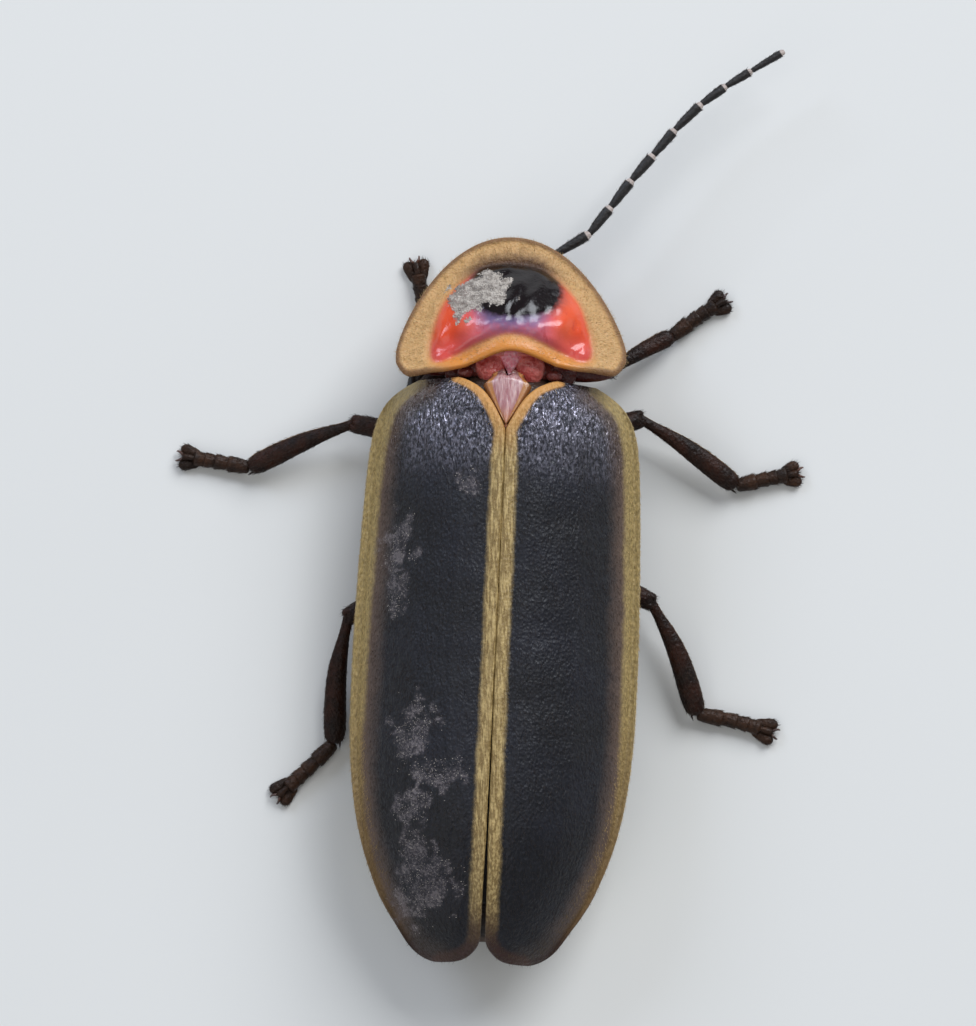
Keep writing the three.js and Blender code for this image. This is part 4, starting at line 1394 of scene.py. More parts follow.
belly_finish = finish("belly_cuticle", belly_wiring, Specular_IOR_Level=0.5)
hind_trunk = body_tube(
    -0.02, 3.3,
    half_width=lambda share: 1.62 * rounded(share),
    bottom=lambda share: CHEST_HEIGHT - 0.14 * np.sin(math.pi * share),
    top=lambda share: 2.5 - 0.4 * share,
    ceiling=lambda x, y: np.minimum(under_cases(x, y), np.where(y < 0.78, 2.45, 9)),
    press=hind_press,
)
hind_trunk.marks["pale"] = np.zeros(len(hind_trunk.corners))
thorax = piece("thorax_skin", [hind_trunk], belly_finish, "belly", ["thorax"], turn=WAIST_TURN)

# %% [markdown]
# ## Abdomen and lantern
# The abdomen is a row of rings, each sliding a little way into the one before, like a
# telescope. Each ring is its own closed tube with a rounded, paler hind edge. Two rings of a
# male, just before the tip, carry the lantern: their undersides are smooth and cream coloured,
# because the skin over the light organ is clear and a white layer behind it throws light out.

# %% The rings of the abdomen
RING_ENDS = (3.28, 4.2, 5.12, 6.02, 6.9, 7.96, 9.0, 9.64)
OVERLAP = 0.16
RING_EDGE = 0.07


def abdomen_half_width(y):
    waist = 1 - 0.12 * np.exp(-(y - 3.25) / 0.5)
    return 0.8 * waist * case_outer(y / CASE_LENGTH)


def abdomen_ring(start, end, last=False):
    length = end + 0.04 - (start - OVERLAP)

    def swell(share):
        hind = np.clip((1 - share) * length / RING_EDGE, 0.0, 1.0)
        round_end = np.sqrt(hind * (2 - hind))
        fill = 0.93 + 0.07 * soft_step(share, 0.0, 0.75)
        tip = np.sqrt(np.maximum(1 - share**2.6, CLOSED)) if last else 1.0
        return fill * tip * (0.93 + 0.07 * round_end)

    def at(share):
        return start - OVERLAP + length * share

    def bottom(share):
        belly = 0.9 - 0.32 * soft_step(at(share), 3.6, 5.6)
        return belly + (1 - swell(share)) * (0.2 if last else 0.5)

    def top(share):
        fall = 0.7 * np.maximum(0, (at(share) - 6) / 3.6) ** 1.3
        return 1.66 - fall - (1 - swell(share)) * (0.16 if last else 0.4)

    def half_width(share):
        return abdomen_half_width(at(share)) * swell(share)

    ring = body_tube(at(0), at(1), half_width, bottom, top, ceiling=under_cases, sides=80, steps=34)
    hind_edge = (1 - ring.marks["along"]) * length
    ring.marks["pale"] = (0.2 if last else 0.8) * (1 - soft_step(hind_edge, 0.03, 0.13))
    return ring


def lantern_wiring(nodes):
    place = nodes.place()
    cloud, grain = nodes.noise(place, 2.4, 4.0), nodes.noise(place, 15.0, 3.0)
    cream = nodes.mix(nodes.smooth(cloud, 0.35, 0.65), colour("d9cd98"), colour("efe6bd"))
    cream = nodes.mix(nodes.smooth(grain, 0.55, 0.8) * 0.4, cream, colour("c2b274"))
    back = 1 - nodes.smooth(nodes.mark("belly") + (cloud - 0.5) * 0.3, 0.3, 0.6)
    skin = nodes.mix(back, cream, colour("33261d"))
    skin = nodes.mix(nodes.mark("pale") * (1 - back) * 0.5, skin, colour("f4efd6"))
    roughness = 0.32 + (grain - 0.5) * 0.15
    return {"Base Color": skin, "Roughness": roughness, "Normal": nodes.relief(grain * 0.01)}


lantern_finish = finish(
    "lantern_cuticle", lantern_wiring, Subsurface_Weight=0.25, Subsurface_Scale=0.0002,
    Subsurface_Radius=(1.0, 0.9, 0.5), Coat_Weight=0.3, Coat_Roughness=0.2,
)
rings = [abdomen_ring(*ends) for ends in zip(RING_ENDS[:-2], RING_ENDS[1:-1])]
rings.append(abdomen_ring(*RING_ENDS[-2:], last=True))
abdomen = piece("abdomen_skin", rings[:4], belly_finish, "belly", ["abdomen"], turn=WAIST_TURN)
piece("lantern_skin", rings[4:6], lantern_finish, "lantern", ["lantern"], turn=WAIST_TURN)
tip = piece("abdomen_tip_skin", rings[6:], belly_finish, "belly", ["abdomen_tip"], turn=WAIST_TURN)
coat("thorax_hairs", thorax, "belly", 130, 0.09, seed=11)
coat("abdomen_hairs", abdomen, "belly", 130, 0.08, seed=12)
coat("abdomen_tip_hairs", tip, "belly", 160, 0.08, seed=13)

# %% [markdown]
# ## Folded wings
# The flight wings lie pleated under the cases, smoky and thin. Only their edges can be seen
# from behind and below. A plate with lengthwise pleats is enough, with veins as thicker lines.

# %% The folded wings
WING = {"start": 0.14, "end": 0.93, "share": 0.6, "inner": 0.1, "below": 0.62}
PLEATS = 7


def folded_wing(side):
    share = np.linspace(WING["start"], WING["end"], 120)[:, None]
    along = (share - WING["start"]) / (WING["end"] - WING["start"])
    reach = WING["share"] * (1 - 0.55 * np.maximum(0, (along - 0.5) / 0.5) ** 2.5)
    across = np.linspace(0, 1, 70)[None]
    x = SEAM_GAP + (WING["inner"] + (reach - WING["inner"]) * across) * case_outer(share)
    fan = np.sin(across * math.pi * PLEATS + 0.8 * np.sin(along * 5))
    creases = 0.03 * line(along - 0.7, 0.05) + 0.02 * np.sin(along * 40 + across * 9) * (along > 0.72)
    z = case_top(x / case_outer(share), share) - WING["below"] + 0.05 * fan + creases
    vein = np.abs(fan) ** 8
    grid = np.stack([side * x, share * CASE_LENGTH + 0 * across, z], -1)
    return plate(grid, 0.035 + 0.03 * vein, vein=vein)


def wing_wiring(nodes):
    place = nodes.place()
    cloud = nodes.noise(place, 3.0, 3.0)
    smoky = nodes.mix(cloud, colour("3b342f"), colour("6a6059"))
    smoky = nodes.mix(nodes.mark("vein"), smoky, colour("1e1713"))
    return {"Base Color": smoky, "Roughness": 0.28 + cloud * 0.2, "Normal": nodes.relief(cloud * 0.02)}


wing_finish = finish("wing_membrane", wing_wiring, Specular_IOR_Level=0.6)
for side_name, side in SIDES.items():
    node = f"hind_wing_{side_name}"
    piece(f"{node}_membrane", [folded_wing(side)], wing_finish, "membrane", [node], turn=WAIST_TURN)

# %% [markdown]
# ## Head
# The head hides under the shield, and is mostly eyes. Between them a narrow face is hollowed
# where the feelers stand, with a lip and a mouth below. Many rounded forms run into one
# another here, so they are made as balls and melted together with Remesh and Smooth, which a
# grid could not do.

# %% Melting shapes together
MELT_VOXEL, MELT_SMOOTHING = 0.018, 6


def melted(shapes):
    """One skin round several overlapping shapes. It is worked out with a millimetre as one unit."""
    mesh = bpy.data.meshes.new("melting")
    start, corners, faces = 0, [], []
    for shape in shapes:
        corners += shape.corners.tolist()
        faces += [tuple(dict.fromkeys(face)) for face in (shape.faces + start).tolist()]
        start += len(shape.corners)
    mesh.from_pydata(corners, [], faces)
    item = bpy.data.objects.new("melting", mesh)
    bpy.context.scene.collection.objects.link(item)
    remesh = item.modifiers.new("melt", "REMESH")
    remesh.mode, remesh.voxel_size = "VOXEL", MELT_VOXEL
    smooth = item.modifiers.new("soften", "SMOOTH")
    smooth.factor, smooth.iterations = 0.5, MELT_SMOOTHING
    graph = bpy.context.evaluated_depsgraph_get()
    result = bpy.data.meshes.new_from_object(item.evaluated_get(graph), depsgraph=graph)
    corners = np.array([corner.co for corner in result.vertices])
    faces = [list(face.vertices) for face in result.polygons]
    faces = np.array([face + face[-1:] * (4 - len(face)) for face in faces])
    bpy.data.objects.remove(item)
    away = corners - corners.mean(0)
    around = np.arctan2(away[:, 0], away[:, 2]) / (2 * math.pi) + 0.5
    unwrap = np.stack([around, (unit(away)[:, 1] + 1) / 2], -1)
    lie = np.zeros_like(corners) + (0.0, 1.0, -0.2)
    return Shape(corners, faces, unwrap=unwrap, lie=lie, hair=np.ones(len(corners)))


# %% The head skin
SOCKET = (0.15, -2.0, 1.06)
head_forms = [
    ball((0, -1.6, 1.05), (0.6, 0.42, 0.36)),
    ball((0, -1.35, 1.1), (0.52, 0.4, 0.28)),
    ball((0, -1.88, 0.9), (0.24, 0.22, 0.27)),
    ball((0, -2.0, 0.76), (0.21, 0.12, 0.1)),
    ball((0, -2.08, 0.69), (0.15, 0.07, 0.05)),
    ball((0, -1.72, 0.66), (0.26, 0.3, 0.12)),
    ball((0, -1.9, 1.22), (0.34, 0.16, 0.12)),
]
for side in SIDES.values():
    head_forms.append(ball((side * SOCKET[0], SOCKET[1] + 0.02, SOCKET[2]), (0.12, 0.11, 0.12)))
    head_forms.append(ball((side * 0.3, -1.92, 0.72), (0.12, 0.16, 0.1)))
    head_forms.append(ball((side * 0.5, -1.6, 0.86), (0.28, 0.32, 0.24)))
head_shape = melted(head_forms)
head_shape.corners[:, 0] += SHIELD_OFFSET
print(len(head_forms), "forms melted into", len(head_shape.faces), "faces")

# %% [markdown]
# The skin of the head, legs and feelers is the same dark brown, a little redder where it is thin and paler
# along the forward ridges: partly dense pale hairs, partly a painted highlight on the side that faces the
# lamps.

# %% Dark skin


def dark_wiring(nodes, deep="1d120d", warm="3f2418", edge="8a6a45"):
    place = nodes.place()
    cloud, grain = nodes.noise(place, 2.5, 4.0), nodes.noise(place, 16.0, 4.0, 0.65)
    pits = nodes.cells(place, 18.0)
    brown = nodes.mix(nodes.smooth(cloud, 0.3, 0.7), colour(deep), colour(warm))
    brown = nodes.mix(nodes.smooth(grain, 0.5, 0.85) * 0.3, brown, colour("57402f"))
    ridge = nodes.smooth(nodes.mark("edge") + (grain - 0.5) * 0.6, 0.2, 0.95)
    # Paler on the forward side of the ridges: partly pale hairs, partly a painted highlight where the front
    # lamps fall.
    pale_edge_and_painted_highlight = ridge * nodes.smooth(nodes.mark("fore"), 0.1, 0.7)
    brown = nodes.mix(pale_edge_and_painted_highlight * 0.7, brown, colour(edge))
    height = grain * 0.014 + pits * 0.01
    return {"Base Color": brown, "Roughness": 0.4 + (grain - 0.5) * 0.3, "Normal": nodes.relief(height)}


dark_finish = finish("dark_cuticle", dark_wiring, Specular_IOR_Level=0.5)
head = piece("head_skin", [head_shape], dark_finish, "dark_cuticle", ["head"])
coat("head_hairs", head, "dark_cuticle", 260, 0.06, seed=21, thickness=0.007)

# %% [markdown]
# ## Eyes
# A compound eye is a dome of hundreds of six-sided lenses. Blender's Dual Mesh turns a ball
# of triangles into just such cells, so the eye is real geometry: each cell is drawn in and
# pushed out a little, all by one small tree.

# %% The tree of the eyes
FACET_RISE = 0.012
FACET_TOP = 0.72
eye_tree, nodes, given = repeating_tree(
    "facets of an eye", {"Centre": "Vector", "Size": "Vector", "Facet": "Float", "Finish": "Material"}
)
dome = nodes.add("GeometryNodeMeshIcoSphere", None, {"Radius": 1.0, "Subdivisions": 5})
dome = nodes.add("GeometryNodeDualMesh", None, {"Mesh": dome})
raised = nodes.add(
    "GeometryNodeExtrudeMesh",
    {"mode": "FACES"},
    {"Mesh": dome, "Offset Scale": given["Facet"], "Individual": True},
)
top_faces = Wire(nodes, raised.socket.node.outputs["Top"])
raised = nodes.add(
    "GeometryNodeScaleElements", None, {"Geometry": raised, "Selection": top_faces, "Scale": FACET_TOP}
)
sized = nodes.add(
    "GeometryNodeTransform",
    None,
    {"Geometry": raised, "Translation": given["Centre"], "Scale": given["Size"]},
)
end_tree(nodes, sized, given["Finish"])


def eye_wiring(nodes):
    cloud = nodes.noise(nodes.place(), 5.0)
    black = nodes.mix(cloud, colour("060506"), colour("17110f"))
    return {"Base Color": black, "Roughness": 0.12 + cloud * 0.12}


eye_finish = finish("eye_lenses", eye_wiring, Coat_Weight=0.6, Coat_Roughness=0.08)
for side_name, side in SIDES.items():
    low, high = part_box(f"eye_{side_name}")
    inputs = {
        "Centre": (low + high) / 2, "Size": (high - low) / 2, "Facet": FACET_RISE, "Finish": eye_finish,
    }
    mesh = grown(f"eye_{side_name}_lenses", eye_tree, bpy.data.meshes.new("empty"), inputs)
    print(mesh.name, len(mesh.polygons), "faces")
    on_frame(mesh.name, mesh, "eye", [f"eye_{side_name}"])

# %% [markdown]
# ## Mouthparts
# The jaws are slim curved sickles that cross in front of the mouth. Beside them hang the
# palps, short feelers for tasting, of four joints with a broad last one. All are limbs.

# %% Jaws and palps


def mandible(side):
    path = [(0.17, -1.95, 0.72), (0.24, -2.12, 0.7), (0.17, -2.27, 0.69), (-0.03, -2.33, 0.68)]
    stops = [(0, 0.075), (0.3, 0.062), (0.7, 0.035), (1, 0.008)]
    return limb(np.array(path) * (side, 1, 1), stops, sides=16, steps=30, flatness=0.8)


def palp(side):
    joints = [
        (0.3, -1.9, 0.62), (0.36, -2.02, 0.55), (0.4, -2.14, 0.5), (0.4, -2.24, 0.46), (0.36, -2.4, 0.42),
    ]
    widths = [(0.035, 0.048), (0.04, 0.052), (0.04, 0.05), (0.042, 0.075)]
    made = []
    for k, (thin, thick) in enumerate(widths):
        start, end = (np.array(joint) * (side, 1, 1) for joint in joints[k : k + 2])
        path = [start, (start + end) / 2, end]
        stops = [(0, thin), (0.65, thick), (1, thick * 0.8)]
        made.append(limb(path, stops, sides=14, steps=18, flatness=0.6, blunt=0.8))
    small = [(0.12, -2.0, 0.64), (0.15, -2.12, 0.57), (0.14, -2.22, 0.53)]
    for start, end in zip(small, small[1:]):
        start, end = np.array(start) * (side, 1, 1), np.array(end) * (side, 1, 1)
        made.append(limb([start, end], [(0, 0.022), (1, 0.04)], sides=12, steps=14))
    return made


jaw_finish = finish(
    "jaw_cuticle",
    lambda nodes: dark_wiring(nodes, "2a130a", "54290f", "7d4f2a"),
    Coat_Weight=0.4,
    Coat_Roughness=0.15,
)
for side_name, side in SIDES.items():
    for node, shapes in (("mandible", [mandible(side)]), ("palp", palp(side))):
        for shape in shapes:
            shape.corners[:, 0] += SHIELD_OFFSET
        piece(f"{node}_{side_name}_skin", shapes, jaw_finish, "dark_cuticle", [f"{node}_{side_name}"])

# %% [markdown]
# ## Feelers
# A feeler has eleven joints: a long first one, a short second one, and nine that widen
# towards their far ends, each closed by a pale ring. The joints are one shape repeated along
# a path, so a tree sets that shape on a row of spots, turned and stretched by what each spot
# says. The right feeler reaches forwards, and the left one is laid back under the case.

# %% The tree of the feelers
joint_tree, nodes, given = repeating_tree("joints on a path", {"Joint": "Object", "Finish": "Material"})
joint = nodes.add("GeometryNodeObjectInfo", None, {"Object": given["Joint"]}, output="Geometry")
turn = nodes.add("FunctionNodeAlignRotationToVector", {"axis": "Z"}, {"Vector": named(nodes, "ahead")})
placed = nodes.add(
    "GeometryNodeInstanceOnPoints",
    None,
    {"Points": given["Geometry"], "Instance": joint, "Rotation": turn, "Scale": named(nodes, "size")},
)
end_tree(nodes, placed, given["Finish"])
print("nodes in the feeler tree:", len(joint_tree.nodes))

# %% [markdown]
# One joint is a limb one unit long along Z. Its path is upright, so it is worked out as rings
# round the Z axis. The mark `ring` is 1 on the pale collar.

# %% One joint of a feeler
JOINT_PROFILE = [
    (-0.03, 0.45), (0.04, 0.62), (0.3, 0.84), (0.75, 1.0), (0.9, 1.0),
    (0.93, 0.98), (0.935, 0.84), (0.99, 0.76), (1.03, 0.6),
]
JOINT_SIDES = 16
COLLAR_START = 0.926


def feeler_joint():
    heights, widths = np.array(JOINT_PROFILE).T
    fine = np.sort(np.r_[np.linspace(heights[0], heights[-1], 34), heights[1:-1]])
    radius = np.interp(fine, heights, widths)
    turn = np.linspace(0, 2 * math.pi, JOINT_SIDES, endpoint=False)
    height = fine[:, None] + 0 * turn
    rings = np.stack([radius[:, None] * np.cos(turn), radius[:, None] * np.sin(turn), height], -1)
    collar = (fine > COLLAR_START).astype(float)[:, None] + 0 * turn
    unwrap = np.stack([np.broadcast_to(turn / (2 * math.pi), collar.shape), height], -1)
    return tube(rings, ring=collar, unwrap=unwrap, hair=1 - collar)


joint_shape = feeler_joint()
joint_mesh = bpy.data.meshes.new("feeler_joint")
joint_mesh.from_pydata(
    joint_shape.corners.tolist(), [], [tuple(dict.fromkeys(face)) for face in joint_shape.faces.tolist()]
)
add_marks(joint_mesh, joint_shape.marks)
joint_object = bpy.data.objects.new("feeler_joint", joint_mesh)
bpy.context.scene.collection.objects.link(joint_object)
print("one joint:", len(joint_mesh.polygons), "faces")

# %% The feelers
FEELERS = {
    "right": [
        (-0.15, -1.98, 1.06), (-0.62, -2.16, 1.05), (-1.02, -2.3, 1.05),
        (-2.15, -3.53, 1.05), (-3.36, -4.87, 1.0), (-4.8, -5.8, 0.95),
    ],
    "left": [
        (0.12, -1.98, 1.06), (0.5, -2.15, 1.04), (0.82, -1.96, 1.02), (1.1, -1.6, 1.02),
        (1.34, -1.1, 1.05), (1.62, -0.3, 1.1), (1.72, 0.8, 1.14), (1.84, 2.5, 1.14),
    ],
}
JOINT_LENGTHS = (0.52, 0.17, 0.72, 0.59, 0.59, 0.58, 0.58, 0.65, 0.53, 0.52, 0.66)
JOINT_WIDTHS = (0.105, 0.08, 0.09, 0.092, 0.092, 0.09, 0.087, 0.084, 0.08, 0.075, 0.065)


def feeler_wiring(nodes):
    place = nodes.place()
    grain = nodes.noise(place, 20.0, 3.0)
    black = nodes.mix(nodes.smooth(grain, 0.4, 0.8), colour("14110f"), colour("2f2a28"))
    skin = nodes.mix(nodes.mark("ring"), black, nodes.mix(grain, colour("8d7f78"), colour("c2b3aa")))
    roughness = 0.5 + (grain - 0.5) * 0.2
    return {"Base Color": skin, "Roughness": roughness, "Normal": nodes.relief(grain * 0.012)}


feeler_finish = finish("feeler_cuticle", feeler_wiring)
for side_name, points in FEELERS.items():
    path = Path(points)
    ends = np.cumsum((0, *JOINT_LENGTHS)) / sum(JOINT_LENGTHS)
    bases, tops = path.at(ends[:-1]), path.at(ends[1:])
    spots = bpy.data.meshes.new("spots")
    spots.from_pydata(in_frame(bases).tolist(), [], [])
    lengths = np.linalg.norm(tops - bases, axis=1)
    add_marks(spots, {
        "ahead": unit(tops - bases),
        "size": np.stack([JOINT_WIDTHS, JOINT_WIDTHS, lengths], -1) * MM,
    })
    node = f"antenna_{side_name}"
    mesh = grown(f"{node}_skin", joint_tree, spots, {"Joint": joint_object, "Finish": feeler_finish})
    mesh.shade_smooth()
    ahead = np.zeros(len(mesh.vertices) * 3)
    mesh.attributes["ahead"].data.foreach_get("vector", ahead)
    add_marks(mesh, {"lie": ahead.reshape(-1, 3)})
    feeler = on_frame(mesh.name, mesh, "dark_cuticle", [node])
    coat(f"{node}_hairs", feeler, "dark_cuticle", 600, 0.055, seed=31, thickness=0.007, lift=0.6)
bpy.data.objects.remove(joint_object)

# %% [markdown]
# ## Legs
# Each leg is a hip, a thigh, a shin that flattens and widens towards the foot, and a foot of
# five joints. The fourth is split in two lobes with a hairy sole, and the thin fifth one
# rises between them and carries two claws. Six legs differ only in where their joints are, so
# one set of functions makes them all.

# %% Where the legs stand
LEGS = {
    "front_leg_right": [(-0.45, -0.85), (-1.81, -0.26), (-2.86, -0.9), (-3.36, -1.27), (-3.86, -1.58)],
    "front_leg_left": [(0.4, -0.85), (1.62, 0.28), (1.4, -0.95), (1.5, -1.62), (1.63, -2.28)],
    "middle_leg_right": [(-0.4, 1.3), (-2.3, 0.59), (-3.97, 1.72), (-4.6, 1.58), (-5.13, 1.48)],
    "middle_leg_left": [(0.5, 1.3), (2.66, 0.67), (4.49, 1.4), (5.15, 1.28), (5.75, 1.19)],
    "hind_leg_right": [(-0.42, 3.0), (-2.47, 3.77), (-3.28, 5.7), (-4.0, 5.84), (-4.68, 6.05)],
    "hind_leg_left": [(0.7, 3.0), (2.76, 4.03), (3.01, 6.2), (3.53, 6.7), (4.05, 7.18)],
}
HIP_HEIGHT, KNEE_HEIGHT, ANKLE_HEIGHT, FOOT_HEIGHT = 0.68, 0.6, 0.26, 0.13
SHIN_WIDTHS = {
    "front": [(0, 0.08), (0.15, 0.085), (0.4, 0.12), (0.7, 0.14), (0.9, 0.14), (1, 0.11)],
    "middle": [
        (0, 0.08), (0.14, 0.085), (0.28, 0.11), (0.42, 0.14),
        (0.6, 0.165), (0.8, 0.175), (0.93, 0.16), (1, 0.125),
    ],
    "hind": [
        (0, 0.085), (0.16, 0.09), (0.3, 0.125), (0.45, 0.155),
        (0.62, 0.175), (0.8, 0.183), (0.93, 0.165), (1, 0.125),
    ],
}
print("legs:", *LEGS)

# %% [markdown]
# The hip, the thigh and the shin are limbs with their own small extras: a ring between hip
# and thigh, two cheeks that hold the knee, and two spurs at the end of the shin. Each of them
# takes its own part of the unwrapped square, so that hairs find their own root's colour.

# %% Hips, thighs and shins
HIP_TOP = 0.98
CHEEK_OUT, SPUR_OUT = 0.075, 0.09


def spot(flat, height):
    return np.array([*flat, height])


def hip(hip_at, knee):
    """A stout hip, and the small ring between it and the thigh."""
    way = unit(knee - hip_at)
    base = spot((hip_at - 0.28 * way)[:2], HIP_TOP)
    coxa = limb([base, hip_at + 0.3 * way], [(0, 0.22), (0.4, 0.25), (0.8, 0.19), (1, 0.13)], tile=(0, 0.5))
    ring_path = [hip_at + 0.16 * way, hip_at + 0.46 * way]
    ring = limb(ring_path, [(0, 0.12), (0.5, 0.15), (1, 0.13)], steps=20, tile=(0.5, 1))
    return [coxa, ring]


def thigh(hip_at, knee, bend):
    """A thigh ends in two low cheeks that hold the top of the shin."""
    way = unit(knee - hip_at)
    side = np.cross(way, UP)
    middle = (hip_at + knee) / 2 + side * bend * 0.05 + UP * 0.04
    path = [hip_at + 0.3 * way, middle, knee + 0.05 * way]
    stops = [(0, 0.11), (0.12, 0.14), (0.42, 0.19), (0.75, 0.175), (0.92, 0.16), (1, 0.13)]
    made = [limb(path, stops, sides=28, steps=50, flatness=0.85, tile=(0, 0.6))]
    for k, cheek in enumerate((side * CHEEK_OUT, side * -CHEEK_OUT)):
        path = [knee - 0.26 * way + cheek, knee - 0.1 * way + cheek * 1.05, knee + 0.09 * way + cheek]
        stops = [(0, 0.06), (0.5, 0.085), (1, 0.07)]
        tile = (0.6 + 0.2 * k, 0.8 + 0.2 * k)
        made.append(limb(path, stops, sides=16, steps=18, flatness=1.1, tile=tile))
    return made


def shin(knee, ankle, bend, widths):
    """A shin starts thin inside the knee, widens and flattens, and ends in two small spurs."""
    way = unit(ankle - knee)
    side = np.cross(way, UP)
    start, end = knee - 0.04 * way, ankle + 0.03 * way
    bowed = knee + 0.42 * (ankle - knee) + side * bend
    path = [start, bowed, end]
    made = [limb(path, widths, sides=36, steps=60, flatness=0.62, ridge=0.06, blunt=0.8, tile=(0, 0.8))]
    for k, reach in enumerate((SPUR_OUT, -SPUR_OUT)):
        root = end + side * reach - way * 0.08 - UP * 0.03
        path = [root, end + side * reach * 1.15 + way * 0.06 - UP * 0.06]
        stops = [(0, 0.022), (0.6, 0.014), (1, 0.004)]
        made.append(limb(path, stops, sides=10, steps=12, tile=(0.8 + 0.1 * k, 0.9 + 0.1 * k)))
    return made


# %% [markdown]
# A foot stands flat. Each joint's sole is pressed level with the floor, which is what keeps
# the model steady.

# %% Feet and claws
FOOT_JOINTS = [(0.0, 0.34, 0.14), (0.28, 0.52, 0.132), (0.46, 0.66, 0.132), (0.6, 0.8, 0.135)]
CLAW_ROOT = 0.95
print("joints in a foot:", len(FOOT_JOINTS) + 1)


def standing(shape):
    shape.corners[:, 2] = np.maximum(shape.corners[:, 2], 0.0)
    return shape


def foot_path(ankle, middle, end):
    return Path([spot(ankle[:2], FOOT_HEIGHT + 0.04), spot(middle, FOOT_HEIGHT), spot(end, FOOT_HEIGHT)])


def foot(path):
    """Four heart-shaped joints, two lobes on the fourth, and a thin last one for the claws."""
    tiles = np.linspace(0, 1, len(FOOT_JOINTS) + 4)
    made = []
    for k, (start, stop, half) in enumerate(FOOT_JOINTS):
        points = path.at(np.linspace(start, stop, 4))
        stops = [(0, half * 0.72), (0.25, half * 0.85), (0.6, half * 0.96), (0.85, half), (1, half * 0.85)]
        shape = limb(points, stops, sides=26, steps=26, flatness=0.9, blunt=0.45, tile=tiles[k : k + 2])
        made.append(standing(shape))
    ahead = path.ahead([0.8])[0]
    across = np.cross(ahead, UP)
    root, lobe_end = path.at([0.7])[0] - UP * 0.05, path.at([0.98])[0] - UP * 0.05
    for k, side in enumerate((-1, 1)):
        points = [
            root + across * side * 0.07,
            (root + lobe_end) / 2 + across * side * 0.11,
            lobe_end + across * side * 0.16,
        ]
        stops = [(0, 0.07), (0.35, 0.09), (0.75, 0.1), (1, 0.075)]
        lobe = limb(points, stops, sides=20, steps=24, flatness=0.65, tile=tiles[4 + k : 6 + k])
        made.append(standing(lobe))
    heel, claw_root = path.at([0.7])[0] + UP * 0.04, path.at([CLAW_ROOT])[0]
    points = [heel, (heel + claw_root) / 2 + UP * 0.02, claw_root]
    stops = [(0, 0.04), (0.5, 0.046), (0.85, 0.06), (1, 0.05)]
    made.append(limb(points, stops, sides=16, steps=24, tile=tiles[6:8]))
    return made


def claws(path):
    """Two hooks that curve apart and down to the floor."""
    ahead = path.ahead([1.0])[0]
    across = np.cross(ahead, UP)
    root = path.at([CLAW_ROOT])[0] - ahead * 0.02
    made = []
    for side in (-1, 1):
        points = [
            root + across * side * 0.02,
            root + across * side * 0.065 + ahead * 0.05 + UP * 0.015,
            root + across * side * 0.085 + ahead * 0.11 - UP * 0.03,
            root + across * side * 0.075 + ahead * 0.13 - UP * 0.085,
        ]
        made.append(limb(points, [(0, 0.026), (0.4, 0.022), (0.8, 0.012), (1, 0.004)], sides=12, steps=22))
    return made


# %% The six legs
leg_finish = finish(
    "leg_cuticle", lambda nodes: dark_wiring(nodes, "110602", "2f1407", "9a7444"), Specular_IOR_Level=0.2
)
foot_finish = finish(
    "foot_cuticle", lambda nodes: dark_wiring(nodes, "1c0f07", "3a2212", "7a6048"), Specular_IOR_Level=0.22
)
BOWS = {"front": 0.03, "middle": 0.05, "hind": 0.09}
LEG_HAIRS = {"coxa": (200, 0.06), "femur": (420, 0.07), "tibia": (520, 0.075), "tarsus": (620, 0.06)}
for number, (leg, (hip_flat, knee_flat, ankle_flat, middle, end)) in enumerate(LEGS.items()):
    hip_at, knee = spot(hip_flat, HIP_HEIGHT), spot(knee_flat, KNEE_HEIGHT)
    ankle = spot(ankle_flat, ANKLE_HEIGHT)
    pair = leg.split("_")[0]
    side = math.copysign(1, knee[0])
    segments = {
        "coxa": hip(hip_at, knee),
        "femur": thigh(hip_at, knee, side),
        "tibia": shin(knee, ankle, BOWS[pair] * side, SHIN_WIDTHS[pair]),
        "tarsus": foot(foot_path(ankle, middle, end)),
    }
    for segment, shapes in segments.items():
        node = f"{leg}_{segment}"
        paint = foot_finish if segment == "tarsus" else leg_finish
        skin = piece(f"{node}_skin", shapes, paint, "dark_cuticle", [node])
        hairs_per_mm2, length = LEG_HAIRS[segment]
        coat(f"{node}_hairs", skin, "dark_cuticle", hairs_per_mm2, length, seed=40 + number, thickness=0.008)
    piece(f"{leg}_claws", claws(foot_path(ankle, middle, end)), jaw_finish, "dark_cuticle")

# %% [markdown]
# ## Floor and light
# The insect stands on a plain pale floor. One broad soft lamp stands ahead of it and to its
# right, where the sky was in the photograph, and three weaker ones fill the shadows. The lamps
# are small and close because the insect is.

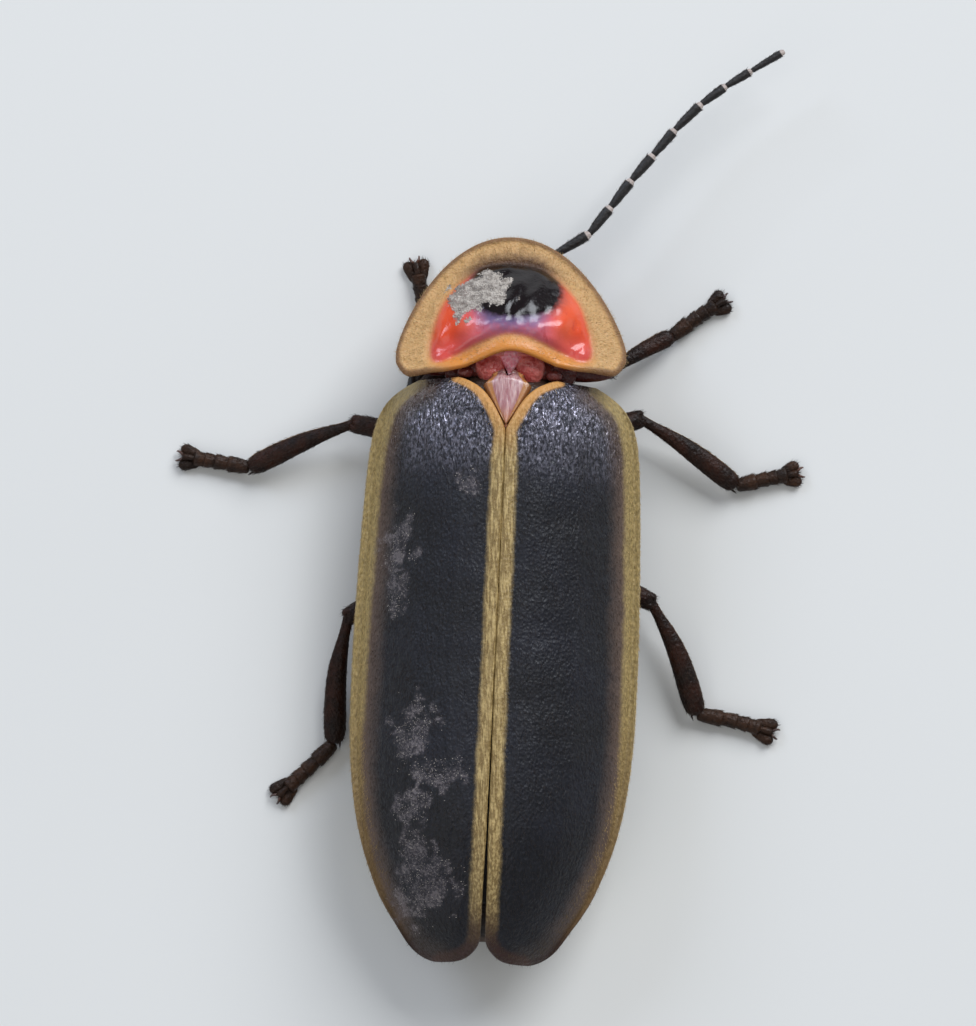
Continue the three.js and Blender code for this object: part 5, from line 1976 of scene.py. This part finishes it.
# %% The floor
FLOOR_SIZE = 0.6


def floor_wiring(nodes):
    speckle = nodes.noise(nodes.place(), 0.05, 2.0)
    return {"Base Color": nodes.mix(speckle, colour("d9d8d4"), colour("dfdeda"))}


floor_mesh = bpy.data.meshes.new("floor")
half = FLOOR_SIZE / 2
floor_corners = [(-half, -half, 0), (half, -half, 0), (half, half, 0), (-half, half, 0)]
floor_mesh.from_pydata(floor_corners, [], [(0, 1, 2, 3)])
floor_mesh.materials.append(finish("floor_paper", floor_wiring, Roughness=0.9, Specular_IOR_Level=0.1))
floor = bpy.data.objects.new("floor", floor_mesh)
bpy.context.scene.collection.objects.link(floor)
print("floor is", FLOOR_SIZE, "m wide")

# %% The lamps
LAMPS = {
    "sky_lamp": {"place": (-0.14, -0.22, 0.20), "size": 0.2, "power": 1.07, "tone": (0.9, 0.94, 1.0)},
    "left_lamp": {"place": (0.2, -0.2, 0.18), "size": 0.12, "power": 0.34, "tone": (0.7, 0.8, 1.0)},
    "back_lamp": {"place": (0.2, 0.18, 0.22), "size": 0.22, "power": 0.16, "tone": (1.0, 0.97, 0.93)},
    "top_lamp": {"place": (0.04, 0.02, 0.36), "size": 0.2, "power": 0.11, "tone": (1.0, 1.0, 1.0)},
}
ROOM_LIGHT, ROOM_STRENGTH = (0.86, 0.92, 1.0, 1.0), 0.3
for name, lamp in LAMPS.items():
    data = bpy.data.lights.new(name, "AREA")
    data.shape, data.size = "SQUARE", lamp["size"]
    data.energy, data.color = lamp["power"], lamp["tone"]
    item = bpy.data.objects.new(name, data)
    item.location = lamp["place"]
    item.rotation_euler = (-Vector(lamp["place"])).to_track_quat("-Z", "Y").to_euler()
    bpy.context.scene.collection.objects.link(item)

world = bpy.data.worlds.new("studio")
world.use_nodes = True
background = world.node_tree.nodes["Background"]
background.inputs["Color"].default_value = ROOM_LIGHT
background.inputs["Strength"].default_value = ROOM_STRENGTH
bpy.context.scene.world = world
bpy.context.scene.view_settings.view_transform = "Standard"
print("lamps:", len(LAMPS))
